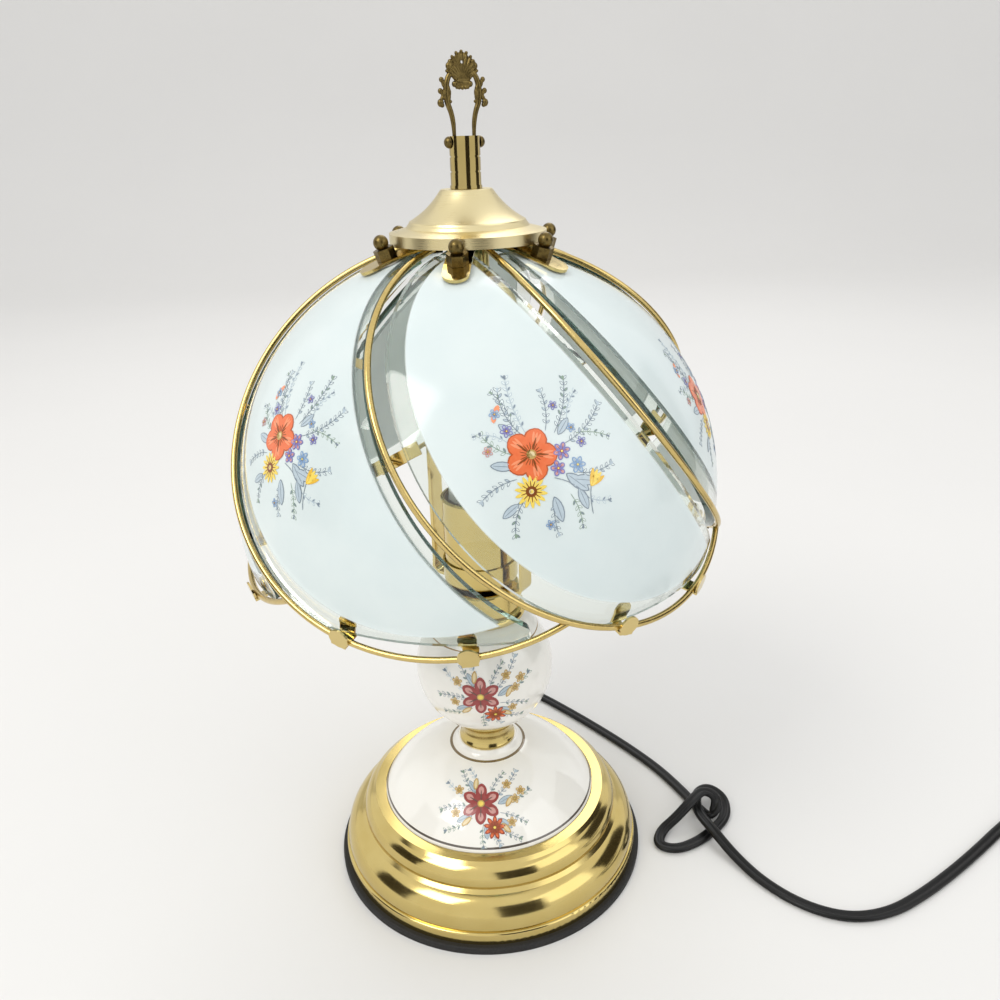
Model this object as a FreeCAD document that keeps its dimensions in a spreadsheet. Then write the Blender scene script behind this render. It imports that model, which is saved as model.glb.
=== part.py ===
import FreeCAD, Part
import Sketcher
import math
import os

from FreeCAD import Placement, Rotation, Vector

# A touch-switched table lamp. A spun brass base, a porcelain dome and a porcelain ball are clamped on a
# hollow threaded rod. On top of it a bent strip, the harp, carries a dome of six curved glass petals.
# The origin is the centre of the pad's underside, +Z runs up the rod and -Y faces the front.
# Azimuths are measured from the front (-Y) towards +X, polar angles from +Z about the shade's centre.

PETALS = 6
STEP = 360.0 / PETALS

SIZES = {
    # Pad and spun base.
    "pad_radius": 76.0,
    "pad_height": 3.3,
    "pad_width": 17.0,
    "pad_round": 1.0,
    "foot_radius": 73.6,
    "foot_height": 4.6,
    "bead": 1.3,
    "bulge_run": 7.7,
    "bulge_height": 14.0,
    "bulge_bend": 13.0,
    "step_run": 1.7,
    "step_height": 1.4,
    "band_run": 4.3,
    "band_height": 9.0,
    "band_bend": 9.0,
    "lip_run": 1.6,
    "lip_height": 1.4,
    "shelf_width": 4.8,
    "seat_depth": 1.5,
    "seat_hole": 38.0,
    "sheet": 0.9,
    # Plate, weight and module inside the base.
    "plate_thickness": 1.2,
    "plate_rim": 12.0,
    "plate_slope": 8.0,
    "plate_rise": 8.7,
    "weight_radius": 50.0,
    "weight_hole": 8.0,
    "weight_height": 8.8,
    "module_length": 24.0,
    "module_height": 13.0,
    "module_offset": 10.0,
    "module_round": 1.5,
    # Porcelain dome, spool, ball and cup.
    "porcelain": 3.5,
    "dome_gap": 0.3,
    "dome_foot": 5.0,
    "dome_edge": 1.6,
    "dome_bend": 54.0,
    "dome_shoulder": 17.9,
    "dome_rise": 25.25,
    "dome_neck": 14.2,
    "dome_neck_height": 3.25,
    "spool_foot": 13.5,
    "spool_waist": 12.4,
    "spool_top": 15.5,
    "spool_lip": 1.2,
    "spool_waist_height": 5.0,
    "spool_height": 13.5,
    "ball_radius": 32.4,
    "ball_top": 17.9,
    "porcelain_hole": 5.5,
    "cup_rim": 20.0,
    "cup_radius": 17.4,
    "cup_rim_height": 5.0,
    "cup_height": 16.0,
    "cup_wall": 1.0,
    "cup_round": 1.6,
    # Threaded rod with its nut and washer.
    "rod_radius": 4.8,
    "rod_bore": 3.4,
    "rod_below": 6.0,
    "rod_above": 8.0,
    "rod_fit": 0.05,
    "rod_window": 5.0,
    "washer_radius": 10.0,
    "washer_thickness": 1.2,
    "nut_flats": 14.3,
    "nut_height": 4.6,
    # Harp, stud and collar.
    "harp_width": 8.0,
    "harp_thickness": 1.5,
    "harp_radius": 24.4,
    "harp_corner": 4.0,
    "harp_straight": 105.0,
    "harp_big_bend": 50.0,
    "harp_bend_angle": 35.0,
    "harp_small_bend": 12.0,
    "harp_azimuth_angle": -35.0,
    "stud_radius": 3.175,
    "stud_fit": 0.08,
    "stud_head": 5.5,
    "stud_head_height": 3.0,
    "collar_radius": 8.0,
    "collar_height": 12.15,
    "shade_drop": 0.1,
    # Lamp holder and bulb.
    "holder_radius": 16.9,
    "holder_wall": 0.7,
    "holder_height": 11.5,
    "holder_round": 3.5,
    "shell_radius": 16.0,
    "shell_wall": 0.6,
    "shell_height": 38.0,
    "shell_bead": 0.7,
    "liner_wall": 0.5,
    "holder_gap": 0.2,
    "core_height": 9.0,
    "core_lift": 8.5,
    "screw_wall": 0.5,
    "screw_height": 20.0,
    "bulb_gap": 0.3,
    "bulb_base_height": 23.0,
    "bulb_tip": 3.5,
    "bulb_cone": 4.0,
    "bulb_radius": 19.0,
    "bulb_neck": 3.0,
    "bulb_belly": 26.0,
    "bulb_height": 72.0,
    "bulb_wall": 0.8,
    # Glass petals of the shade.
    "hub_lift": 0.9,
    "glass_radius": 102.1,
    "glass_thickness": 3.5,
    "petal_azimuth_angle": 46.1,
    "petal_polar_angle": 53.6,
    "petal_spread_angle": 52.2,
    "petal_gap": 8.6,
    "petal_top_angle": 12.5,
    "petal_bottom_angle": 101.9,
    "petal_corner": 3.0,
    "petal_hole": 4.0,
    # Rods that run over the gaps, and what they hold.
    "rib_radius": 1.2,
    "rib_clearance": 0.3,
    "rib_start_azimuth_angle": -40.5,
    "rib_start_polar_angle": 11.4,
    "rib_upper_azimuth_angle": -26.5,
    "rib_upper_polar_angle": 50.0,
    "rib_side_azimuth_angle": -1.2,
    "rib_side_polar_angle": 85.3,
    "rib_lower_azimuth_angle": 34.0,
    "rib_lower_polar_angle": 103.8,
    "rib_end_azimuth_angle": 77.0,
    "rib_end_polar_angle": 97.5,
    "clip_left_azimuth_angle": 30.0,
    "clip_right_azimuth_angle": 57.0,
    "clip_thickness": 0.8,
    "clip_gap": 0.15,
    "clip_ear": 4.0,
    "clip_ear_rise": 1.6,
    "clip_width": 6.0,
    "clip_inner_ear": 3.4,
    "clip_inner_rise": 4.6,
    "rest_azimuth_angle": -18.0,
    "rest_length": 20.0,
    "rest_width": 4.5,
    "rest_post": 1.2,
    "rest_gap": 0.8,
    # Hub, straps, screws, grommets and nuts.
    "hub_radius": 29.6,
    "hub_thickness": 1.3,
    "hub_rim": 1.0,
    "hub_rim_height": 2.3,
    "strap_azimuth_angle": -7.0,
    "strap_width": 10.0,
    "strap_thickness": 1.2,
    "strap_start": 9.0,
    "strap_bend": 17.0,
    "strap_land": 20.5,
    "strap_end_angle": 25.5,
    "strap_gap": 0.8,
    "strap_slot": 3.4,
    "strap_slot_length": 7.0,
    "screw_reach": 33.25,
    "petal_screw": 1.5,
    "petal_screw_head": 3.2,
    "petal_screw_head_height": 1.6,
    "grommet_flange": 5.0,
    "grommet_thickness": 0.6,
    "grommet_fit": 0.1,
    "ball_nut_flats": 7.0,
    "ball_nut_height": 4.0,
    "ball_nut_ball": 2.9,
    # Cap and finial.
    "cap_radius": 30.85,
    "cap_sheet": 0.8,
    "cap_drop": 0.5,
    "cap_skirt": 4.0,
    "cap_slope_run": 6.6,
    "cap_slope_rise": 1.7,
    "cap_step_run": 1.5,
    "cap_step_rise": 2.3,
    "cap_top_radius": 9.8,
    "cap_cone_rise": 11.5,
    "neck_radius": 5.9,
    "neck_height": 18.7,
    "neck_foot": 6.2,
    "neck_foot_height": 1.2,
    "neck_groove": 0.3,
    "neck_groove_width": 0.6,
    "neck_groove_low": 6.1,
    "neck_groove_high": 11.5,
    "neck_cup": 5.2,
    "neck_cup_depth": 4.5,
    "pivot_depth": 2.2,
    "pin_radius": 0.7,
    "pin_fit": 0.05,
    "pin_head": 2.2,
    "handle_azimuth_angle": 20.0,
    "handle_thickness": 2.6,
    "leg_width": 1.5,
    "leg_inner": 3.2,
    "crest_radius": 1.25,
    "crest_eye": 0.8,
    # Cord, strain relief and plug.
    "cord_radius": 2.05,
    "cord_width": 5.6,
    "bush_bore_gap": 0.2,
    "bush_wall": 1.55,
    "bush_flange": 4.9,
    "bush_flange_thickness": 2.2,
    "bush_inside": 3.0,
    "bush_tip": 3.0,
    "relief_length": 22.0,
    "cord_height": 2.2,
    "exit_side": -6.0,
    "exit_height": 8.3,
    "lead_radius": 1.3,
    "coil_pitch": 5.8,
    "coil_climb": 4.7,
    "coil_tail": 24.0,
    "coil_radius": 38.5,
    "plug_length": 14.0,
    "plug_width": 18.0,
    "plug_thickness": 13.8,
    "plug_tail": 14.0,
    "plug_tail_radius": 4.4,
    "plug_round": 2.0,
    "blade_length": 17.0,
    "blade_width": 6.3,
    "blade_thickness": 1.5,
    "blade_spacing": 12.7,
    "blade_seat": 2.0,
}

# The coil winds COIL_TURNS times inwards, climbs a layer in half a turn, and winds as often outwards.
COIL_TURNS = 3

# The free cord's route over the table, after its first point at the strain relief. It bends round
# behind the base, runs forward on the right, makes a loose overhand knot and swings off to the right.
CORD_ROUTE = [
    (-6.0, 110.0, 5.0), (-1.0, 120.5, 2.4), (13.0, 127.0, 2.2), (31.0, 119.0, 2.2),
    (48.0, 101.0, 2.2), (65.0, 81.5, 2.2), (81.5, 61.0, 2.2), (96.0, 40.0, 2.2),
    (105.0, 21.5, 2.2), (109.8, 9.5, 2.2), (115.5, -1.5, 2.3), (120.5, 4.5, 10.2),
    (113.0, 9.0, 12.8), (105.0, 1.5, 11.8), (96.0, -4.6, 6.8), (87.5, -8.5, 2.8),
    (84.0, -17.5, 2.2), (92.5, -21.2, 2.2), (104.0, -17.0, 2.2), (115.0, -9.0, 2.2),
    (124.0, 0.5, 2.3), (125.5, 12.0, 4.6), (117.5, 17.5, 7.4), (109.5, 11.0, 7.3),
    (108.0, -1.5, 7.2), (112.5, -14.5, 7.3), (120.0, -28.0, 3.2), (129.0, -44.0, 2.2),
    (143.0, -59.0, 2.2), (161.0, -67.5, 2.2), (181.0, -66.0, 2.2), (201.0, -56.5, 2.2),
    (222.0, -44.0, 2.2), (243.0, -30.0, 2.2), (264.0, -15.0, 2.2), (286.0, -2.0, 2.2),
]


class Size:
    """A number with the formula over the sheet's cells that it comes from."""

    def __init__(self, number, text):
        self.number = number
        self.text = text

    def __add__(self, other):
        other = as_size(other)
        return Size(self.number + other.number, f"({self.text} + {other.text})")

    def __sub__(self, other):
        other = as_size(other)
        return Size(self.number - other.number, f"({self.text} - {other.text})")

    def __mul__(self, other):
        other = as_size(other)
        return Size(self.number * other.number, f"({self.text} * {other.text})")

    def __truediv__(self, other):
        other = as_size(other)
        return Size(self.number / other.number, f"({self.text} / {other.text})")

    def __neg__(self):
        return Size(-self.number, f"(0 - {self.text})")

    def __radd__(self, other):
        return as_size(other) + self

    def __rsub__(self, other):
        return as_size(other) - self

    def __rmul__(self, other):
        return as_size(other) * self


def as_size(value):
    return value if isinstance(value, Size) else Size(float(value), repr(float(value)))


def root(value):
    return Size(math.sqrt(value.number), f"sqrt({value.text})")


def sine(degrees):
    return Size(math.sin(math.radians(degrees.number)), f"sin({degrees.text} * 1 deg)")


def cosine(degrees):
    return Size(math.cos(math.radians(degrees.number)), f"cos({degrees.text} * 1 deg)")


doc = FreeCAD.newDocument("petal_lamp")
sheet = doc.addObject("Spreadsheet::Sheet", "Sizes")
for row, (alias, value) in enumerate(SIZES.items(), start=1):
    sheet.set(f"A{row}", alias)
    sheet.set(f"B{row}", str(value))
    sheet.setAlias(f"B{row}", alias)
doc.recompute()


class Cells:
    """Each cell of the sheet as a Size, under its alias."""


S = Cells()
for alias in SIZES:
    setattr(S, alias, Size(float(sheet.get(alias)), f"Sizes.{alias}"))

parts = []


# ---------------------------------------------------------------- sketches and bodies


def new_body(label):
    body = doc.addObject("PartDesign::Body", label)
    body.Label = label
    parts.append(body)
    return body


def new_sketch(body, role, name, lift=None):
    """A sketch on one of the body's origin planes, or lifted off it by a Size."""
    sketch = body.newObject("Sketcher::SketchObject", name)
    plane = next(f for f in body.Origin.OriginFeatures if f.Role == role)
    sketch.AttachmentSupport = (plane, [""])
    sketch.MapMode = "FlatFace"
    if lift is not None:
        sketch.AttachmentOffset = Placement(Vector(0, 0, lift.number), Rotation())
        sketch.setExpression("AttachmentOffset.Base.z", lift.text)
    return sketch


def bind(sketch, index, value):
    """Ties one constraint of a sketch to its formula over the sheet."""
    sketch.setExpression(f"Constraints[{index}]", value.text)


def pin_point(sketch, edge, end, x, y):
    """Holds the end of an edge at (x, y), both taken from the sheet."""
    for kind, value, axis in (("DistanceX", x, -2), ("DistanceY", y, -1)):
        if value.number == 0.0:
            sketch.addConstraint(Sketcher.Constraint("PointOnObject", edge, end, axis))
        else:
            held = Sketcher.Constraint(kind, -1, 1, edge, end, value.number)
            bind(sketch, sketch.addConstraint(held), value)


def arc_between(first, last, bend):
    """An arc of less than half a turn, counter-clockwise for a positive bend radius."""
    start, stop = (first, last) if bend > 0 else (last, first)
    chord = stop - start
    height = math.sqrt(bend * bend - chord.Length ** 2 / 4)
    normal = Vector(-chord.y, chord.x, 0).normalize()
    centre = (start + stop) / 2 + normal * height
    circle = Part.Circle(centre, Vector(0, 0, 1), abs(bend))
    return Part.ArcOfCircle(circle, circle.parameter(start), circle.parameter(stop))


def outline(sketch, corners):
    """A closed loop. A corner is (x, y), or (x, y, bend) where an arc leads on to the next corner."""
    corners = [tuple(as_size(value) for value in corner) for corner in corners]
    spots = [Vector(corner[0].number, corner[1].number, 0) for corner in corners]
    ends = []
    for number, corner in enumerate(corners):
        here, there = spots[number], spots[(number + 1) % len(spots)]
        if len(corner) == 2:
            edge = sketch.addGeometry(Part.LineSegment(here, there), False)
            ends.append((edge, 1, 2))
        else:
            bend = corner[2]
            edge = sketch.addGeometry(arc_between(here, there, bend.number), False)
            ends.append((edge, 1, 2) if bend.number > 0 else (edge, 2, 1))
    for number, corner in enumerate(corners):
        edge, head, tail = ends[number]
        following = ends[(number + 1) % len(ends)]
        joined = Sketcher.Constraint("Coincident", edge, tail, following[0], following[1])
        sketch.addConstraint(joined)
        pin_point(sketch, edge, head, corner[0], corner[1])
    for (edge, head, tail), corner in zip(ends, corners):
        if len(corner) == 3:
            bend = corner[2] if corner[2].number > 0 else -corner[2]
            held = Sketcher.Constraint("Radius", edge, bend.number)
            bind(sketch, sketch.addConstraint(held), bend)


def round_hole(sketch, x, y, radius):
    """A full circle in a sketch."""
    x, y, radius = as_size(x), as_size(y), as_size(radius)
    centre = Vector(x.number, y.number, 0)
    edge = sketch.addGeometry(Part.Circle(centre, Vector(0, 0, 1), radius.number), False)
    pin_point(sketch, edge, 3, x, y)
    bind(sketch, sketch.addConstraint(Sketcher.Constraint("Radius", edge, radius.number)), radius)


def turned(label, *loops):
    """A body made by turning closed loops of (radius, height) corners about the lamp's axis."""
    body = new_body(label)
    sketch = new_sketch(body, "XZ_Plane", label + "_profile")
    for loop in loops:
        outline(sketch, loop)
    turn = body.newObject("PartDesign::Revolution", label + "_turn")
    turn.Profile = sketch
    turn.ReferenceAxis = (sketch, ["V_Axis"])
    turn.Angle = 360
    doc.recompute()
    return body


def pad(body, sketch, length, both_ways=False, taper=None):
    feature = body.newObject("PartDesign::Pad", sketch.Name + "_pad")
    feature.Profile = sketch
    feature.Length = length.number
    feature.setExpression("Length", length.text)
    feature.Midplane = both_ways
    if taper is not None:
        feature.TaperAngle = taper
    doc.recompute()
    return feature


def pocket(body, sketch, length, turned_round=False, both_ways=False):
    feature = body.newObject("PartDesign::Pocket", sketch.Name + "_pocket")
    feature.Profile = sketch
    feature.Length = length.number
    feature.setExpression("Length", length.text)
    feature.Reversed = turned_round
    feature.Midplane = both_ways
    doc.recompute()
    return feature


def rounded(body, base, radius, wanted):
    """Fillets the edges of a feature that the test picks out."""
    edges = [f"Edge{n}" for n, e in enumerate(base.Shape.Edges, start=1) if wanted(e)]
    feature = body.newObject("PartDesign::Fillet", base.Name + "_round")
    feature.Base = (base, edges)
    feature.Radius = radius.number
    feature.setExpression("Radius", radius.text)
    doc.recompute()
    return feature


def stands(edge):
    """True for a straight edge that runs along Z."""
    direction = edge.Vertexes[-1].Point - edge.Vertexes[0].Point
    return edge.Curve.TypeId == "Part::GeomLine" and math.hypot(direction.x, direction.y) < 0.001


def from_shape(label, shape, placement=None):
    """A sub-part whose shape is worked out from the sheet's numbers by solid geometry."""
    feature = doc.addObject("Part::Feature", label)
    feature.Label = label
    feature.Shape = shape
    if placement is not None:
        feature.Placement = placement
    parts.append(feature)
    return feature


def turn_z(degrees):
    return Placement(Vector(), Rotation(Vector(0, 0, 1), degrees))


def moved(shape, placement):
    copy = shape.copy()
    copy.Placement = placement.multiply(copy.Placement)
    return copy


def around(shape):
    """Copies of a shape, one for each petal, as separate solids."""
    return Part.makeCompound([moved(shape, turn_z(STEP * n)) for n in range(PETALS)])


# ---------------------------------------------------------------- base

BELOW = S.pad_height
FOOT_TOP = BELOW + S.foot_height
BULGE_FOOT = FOOT_TOP + S.bead
BULGE_TOP = BULGE_FOOT + S.bulge_height
BAND_FOOT = BULGE_TOP + S.step_height
BAND_TOP = BAND_FOOT + S.band_height
SHELF = BAND_TOP + S.lip_height
SEAT = SHELF - S.seat_depth
BULGE_R = S.foot_radius - S.bead
STEP_R = BULGE_R - S.bulge_run
BAND_R = STEP_R - S.step_run
LIP_R = BAND_R - S.band_run
SHELF_R = LIP_R - S.lip_run
RECESS_R = SHELF_R - S.shelf_width
BUSH_R = S.cord_radius + S.bush_bore_gap + S.bush_wall

turned("base_pad", [
    (S.pad_radius - S.pad_width, 0),
    (S.pad_radius, 0),
    (S.pad_radius, S.pad_height - S.pad_round, S.pad_round),
    (S.pad_radius - S.pad_round, S.pad_height),
    (S.pad_radius - S.pad_width, S.pad_height),
])


def base_profile():
    """The spun sheet: foot, bead, bulge, step, band, lip, flat shelf and sunk seat, then back inside."""
    t = S.sheet
    outer = [
        (S.foot_radius, BELOW),
        (S.foot_radius, FOOT_TOP, S.bead),
        (BULGE_R, BULGE_FOOT, S.bulge_bend),
        (STEP_R, BULGE_TOP),
        (BAND_R, BAND_FOOT, S.band_bend),
        (LIP_R, BAND_TOP),
        (SHELF_R, SHELF),
        (RECESS_R, SHELF),
        (RECESS_R, SEAT),
        (S.seat_hole, SEAT),
    ]
    inner = [
        (S.seat_hole, SEAT - t),
        (RECESS_R + t, SEAT - t),
        (RECESS_R + t, SHELF - t),
        (SHELF_R - t, SHELF - t),
        (LIP_R - t, BAND_TOP - t / 2, -S.band_bend),
        (BAND_R - t, BAND_FOOT),
        (STEP_R - t, BULGE_TOP, -S.bulge_bend),
        (BULGE_R - t, BULGE_FOOT, -S.bead),
        (S.foot_radius - t, FOOT_TOP),
        (S.foot_radius - t, BELOW),
    ]
    return outer + inner


base_shell = turned("base_shell", base_profile())
cord_hole = new_sketch(base_shell, "XZ_Plane", "cord_hole")
round_hole(cord_hole, S.exit_side, S.exit_height, BUSH_R + S.rod_fit)
pocket(base_shell, cord_hole, 2 * S.foot_radius)

PLATE_R = S.foot_radius - S.sheet - 2 * S.dome_gap
PLATE_FLAT_R = PLATE_R - S.plate_rim - S.plate_slope
PLATE_LOW = BELOW + S.plate_rise
PLATE_TOP = PLATE_LOW + S.plate_thickness

turned("bottom_plate", [
    (S.rod_radius + S.rod_fit, PLATE_LOW),
    (PLATE_FLAT_R, PLATE_LOW),
    (PLATE_R - S.plate_rim, BELOW),
    (PLATE_R, BELOW),
    (PLATE_R, BELOW + S.plate_thickness),
    (PLATE_R - S.plate_rim + S.plate_thickness / 2, BELOW + S.plate_thickness),
    (PLATE_FLAT_R + S.plate_thickness / 2, PLATE_TOP),
    (S.rod_radius + S.rod_fit, PLATE_TOP),
])

WEIGHT_TOP = PLATE_TOP + S.weight_height

turned("base_weight", [
    (S.weight_hole, PLATE_TOP),
    (S.weight_radius, PLATE_TOP),
    (S.weight_radius, WEIGHT_TOP),
    (S.weight_hole, WEIGHT_TOP),
])

touch_module = new_body("touch_module")
case = new_sketch(touch_module, "XY_Plane", "module_case", WEIGHT_TOP)
outline(case, [
    (-S.module_offset - S.module_length, -S.module_length / 2),
    (-S.module_offset, -S.module_length / 2),
    (-S.module_offset, S.module_length / 2),
    (-S.module_offset - S.module_length, S.module_length / 2),
])
case_pad = pad(touch_module, case, S.module_height)
rounded(touch_module, case_pad, S.module_round, stands)


# ---------------------------------------------------------------- column

DOME_R = RECESS_R - S.dome_gap
DOME_SHOULDER = SEAT + S.dome_rise
DOME_TOP = DOME_SHOULDER + S.dome_neck_height
DOME_EDGE_TOP = SEAT + 2 * S.dome_edge

turned("porcelain_dome", [
    (DOME_R - S.dome_foot, SEAT),
    (DOME_R - S.dome_edge, SEAT, S.dome_edge),
    (DOME_R, SEAT + S.dome_edge, S.dome_edge * 2),
    (DOME_R - S.dome_edge / 2, DOME_EDGE_TOP, S.dome_bend),
    (S.dome_shoulder, DOME_SHOULDER, -S.dome_neck_height * 1.6),
    (S.dome_neck, DOME_TOP),
    (S.porcelain_hole, DOME_TOP),
    (S.porcelain_hole, DOME_TOP - S.porcelain),
    (S.dome_neck - S.porcelain / 2, DOME_TOP - S.porcelain - 1, -(S.dome_bend - S.porcelain)),
])

SPOOL_TOP = DOME_TOP + S.spool_height
WAIST = DOME_TOP + S.spool_waist_height

turned("neck_ring", [
    (S.rod_radius + S.rod_fit, DOME_TOP),
    (S.spool_foot, DOME_TOP),
    (S.spool_foot, DOME_TOP + S.spool_lip, -S.spool_height * 0.6),
    (S.spool_waist, WAIST, -S.spool_height),
    (S.spool_top, SPOOL_TOP - S.spool_lip),
    (S.spool_top, SPOOL_TOP),
    (S.rod_radius + S.rod_fit, SPOOL_TOP),
])

BALL_CENTRE = SPOOL_TOP + root(S.ball_radius * S.ball_radius - S.spool_top * S.spool_top)
BALL_TOP = BALL_CENTRE + root(S.ball_radius * S.ball_radius - S.ball_top * S.ball_top)
HOLLOW_R = S.ball_radius - S.porcelain
HOLLOW_RISE = BALL_TOP - S.porcelain - BALL_CENTRE
HOLLOW_DROP = BALL_CENTRE - SPOOL_TOP - S.porcelain

turned("porcelain_ball", [
    (S.porcelain_hole, SPOOL_TOP),
    (S.spool_top, SPOOL_TOP, S.ball_radius),
    (S.ball_radius, BALL_CENTRE, S.ball_radius),
    (S.ball_top, BALL_TOP),
    (S.porcelain_hole, BALL_TOP),
    (S.porcelain_hole, BALL_TOP - S.porcelain),
    (root(HOLLOW_R * HOLLOW_R - HOLLOW_RISE * HOLLOW_RISE), BALL_TOP - S.porcelain, -HOLLOW_R),
    (HOLLOW_R, BALL_CENTRE, -HOLLOW_R),
    (root(HOLLOW_R * HOLLOW_R - HOLLOW_DROP * HOLLOW_DROP), SPOOL_TOP + S.porcelain),
    (S.porcelain_hole, SPOOL_TOP + S.porcelain),
])

CUP_TOP = BALL_TOP + S.cup_height
RIM_MIDDLE = BALL_TOP + S.cup_rim_height / 2

turned("ball_cup", [
    (S.ball_top - S.cup_wall, BALL_TOP),
    (S.ball_top + S.cup_wall, BALL_TOP, S.cup_rim_height * 0.7),
    (S.cup_rim, RIM_MIDDLE, S.cup_rim_height * 0.7),
    (S.cup_radius, BALL_TOP + S.cup_rim_height),
    (S.cup_radius, CUP_TOP - S.cup_round, S.cup_round),
    (S.cup_radius - S.cup_round, CUP_TOP),
    (S.rod_radius + S.rod_fit, CUP_TOP),
    (S.rod_radius + S.rod_fit, CUP_TOP - S.cup_wall),
    (S.cup_radius - S.cup_round - S.cup_wall, CUP_TOP - S.cup_wall),
    (S.cup_radius - S.cup_wall, CUP_TOP - S.cup_round - S.cup_wall),
    (S.cup_radius - S.cup_wall, BALL_TOP + S.cup_rim_height - S.cup_wall),
    (S.cup_rim - S.cup_wall, RIM_MIDDLE),
])

HARP_LOW = CUP_TOP
HOLDER_LOW = HARP_LOW + S.harp_thickness
ROD_BOTTOM = S.rod_below
ROD_TOP = HOLDER_LOW + S.rod_above
WINDOW_LOW = WEIGHT_TOP + S.rod_fit

centre_rod = turned("centre_rod", [
    (S.rod_bore, ROD_BOTTOM),
    (S.rod_radius, ROD_BOTTOM),
    (S.rod_radius, ROD_TOP),
    (S.rod_bore, ROD_TOP),
])
window = new_sketch(centre_rod, "YZ_Plane", "rod_window")
outline(window, [
    (-S.rod_window / 2, WINDOW_LOW),
    (S.rod_window / 2, WINDOW_LOW),
    (S.rod_window / 2, WINDOW_LOW + 3 * S.rod_window),
    (-S.rod_window / 2, WINDOW_LOW + 3 * S.rod_window),
])
pocket(centre_rod, window, S.rod_radius + 1)

WASHER_LOW = PLATE_LOW - S.washer_thickness

turned("rod_washer", [
    (S.rod_radius + S.rod_fit, WASHER_LOW),
    (S.washer_radius, WASHER_LOW),
    (S.washer_radius, PLATE_LOW),
    (S.rod_radius + S.rod_fit, PLATE_LOW),
])

rod_nut = new_body("rod_nut")
flats = new_sketch(rod_nut, "XY_Plane", "nut_flats", WASHER_LOW - S.nut_height)
HALF = S.nut_flats / 2
SIDE = S.nut_flats / (2 * math.sqrt(3))
outline(flats, [
    (HALF, -SIDE), (HALF, SIDE), (0, 2 * SIDE), (-HALF, SIDE), (-HALF, -SIDE), (0, -2 * SIDE),
])
round_hole(flats, 0, 0, S.rod_radius + S.rod_fit)
pad(rod_nut, flats, S.nut_height)


# ---------------------------------------------------------------- harp, stud and collar

BEND_ONE = S.harp_big_bend
BEND_TWO = S.harp_small_bend
LEG_TOP = HARP_LOW + S.harp_straight
KNEE_R = S.harp_radius - BEND_ONE * (1 - cosine(S.harp_bend_angle))
KNEE = LEG_TOP + BEND_ONE * sine(S.harp_bend_angle)
HARP_TOP = KNEE + BEND_TWO * (1 - sine(S.harp_bend_angle))
FLAT_R = KNEE_R - BEND_TWO * cosine(S.harp_bend_angle)


def harp_loop(inset):
    """The closed bow of the harp, drawn a given depth inside its outer face."""
    side = S.harp_radius - inset
    low = HARP_LOW + inset
    top = HARP_TOP - inset
    corner = S.harp_corner - inset
    knee_r = KNEE_R - inset * cosine(S.harp_bend_angle)
    knee = KNEE - inset * sine(S.harp_bend_angle)
    return [
        (side, low + corner),
        (side, LEG_TOP, BEND_ONE - inset),
        (knee_r, knee, BEND_TWO - inset),
        (FLAT_R, top),
        (-FLAT_R, top, BEND_TWO - inset),
        (-knee_r, knee, BEND_ONE - inset),
        (-side, LEG_TOP),
        (-side, low + corner, corner),
        (-side + corner, low),
        (side - corner, low, corner),
    ]


harp = new_body("harp")
bow = new_sketch(harp, "XZ_Plane", "harp_bow")
outline(bow, harp_loop(0 * S.harp_thickness))
outline(bow, harp_loop(S.harp_thickness))
pad(harp, bow, S.harp_width, both_ways=True)
rod_hole = new_sketch(harp, "XY_Plane", "harp_rod_hole", HARP_LOW - 1)
round_hole(rod_hole, 0, 0, S.rod_radius + S.rod_fit)
pocket(harp, rod_hole, S.harp_thickness + 2, turned_round=True)
stud_hole = new_sketch(harp, "XY_Plane", "harp_stud_hole", HARP_TOP - S.harp_thickness - 1)
round_hole(stud_hole, 0, 0, S.stud_radius + S.stud_fit)
pocket(harp, stud_hole, S.harp_thickness + 2, turned_round=True)
harp.Placement = turn_z(S.harp_azimuth_angle.number)
harp.setExpression("Placement.Rotation.Angle", S.harp_azimuth_angle.text + " * 1 deg")

# The stud carries the collar, the shade's hub, its cap and the finial, one on the other.
COLLAR_TOP = HARP_TOP + S.collar_height
HUB_LOW = COLLAR_TOP + S.shade_drop
CAP_LOW = HUB_LOW - S.cap_drop
SKIRT_TOP = CAP_LOW + S.cap_skirt
SLOPE_TOP = SKIRT_TOP + S.cap_slope_rise
STEP_TOP = SLOPE_TOP + S.cap_step_rise
CAP_TOP = STEP_TOP + S.cap_cone_rise
NECK_LOW = CAP_TOP + S.shade_drop
NECK_TOP = NECK_LOW + S.neck_height
STUD_LOW = HARP_TOP - S.harp_thickness
STUD_TOP = NECK_TOP - S.neck_cup_depth - S.rod_fit

turned("harp_stud", [
    (0, STUD_LOW - S.stud_head_height),
    (S.stud_head, STUD_LOW - S.stud_head_height),
    (S.stud_head, STUD_LOW),
    (S.stud_radius, STUD_LOW),
    (S.stud_radius, STUD_TOP),
    (0, STUD_TOP),
])

turned("seat_collar", [
    (S.stud_radius + S.stud_fit, HARP_TOP),
    (S.collar_radius, HARP_TOP),
    (S.collar_radius, COLLAR_TOP),
    (S.stud_radius + S.stud_fit, COLLAR_TOP),
])


# ---------------------------------------------------------------- lamp holder and bulb

HOLDER_TOP = HOLDER_LOW + S.holder_height
HOLDER_FLOOR = HOLDER_LOW + S.holder_wall
HOLDER_INNER = S.holder_radius - S.holder_wall

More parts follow.
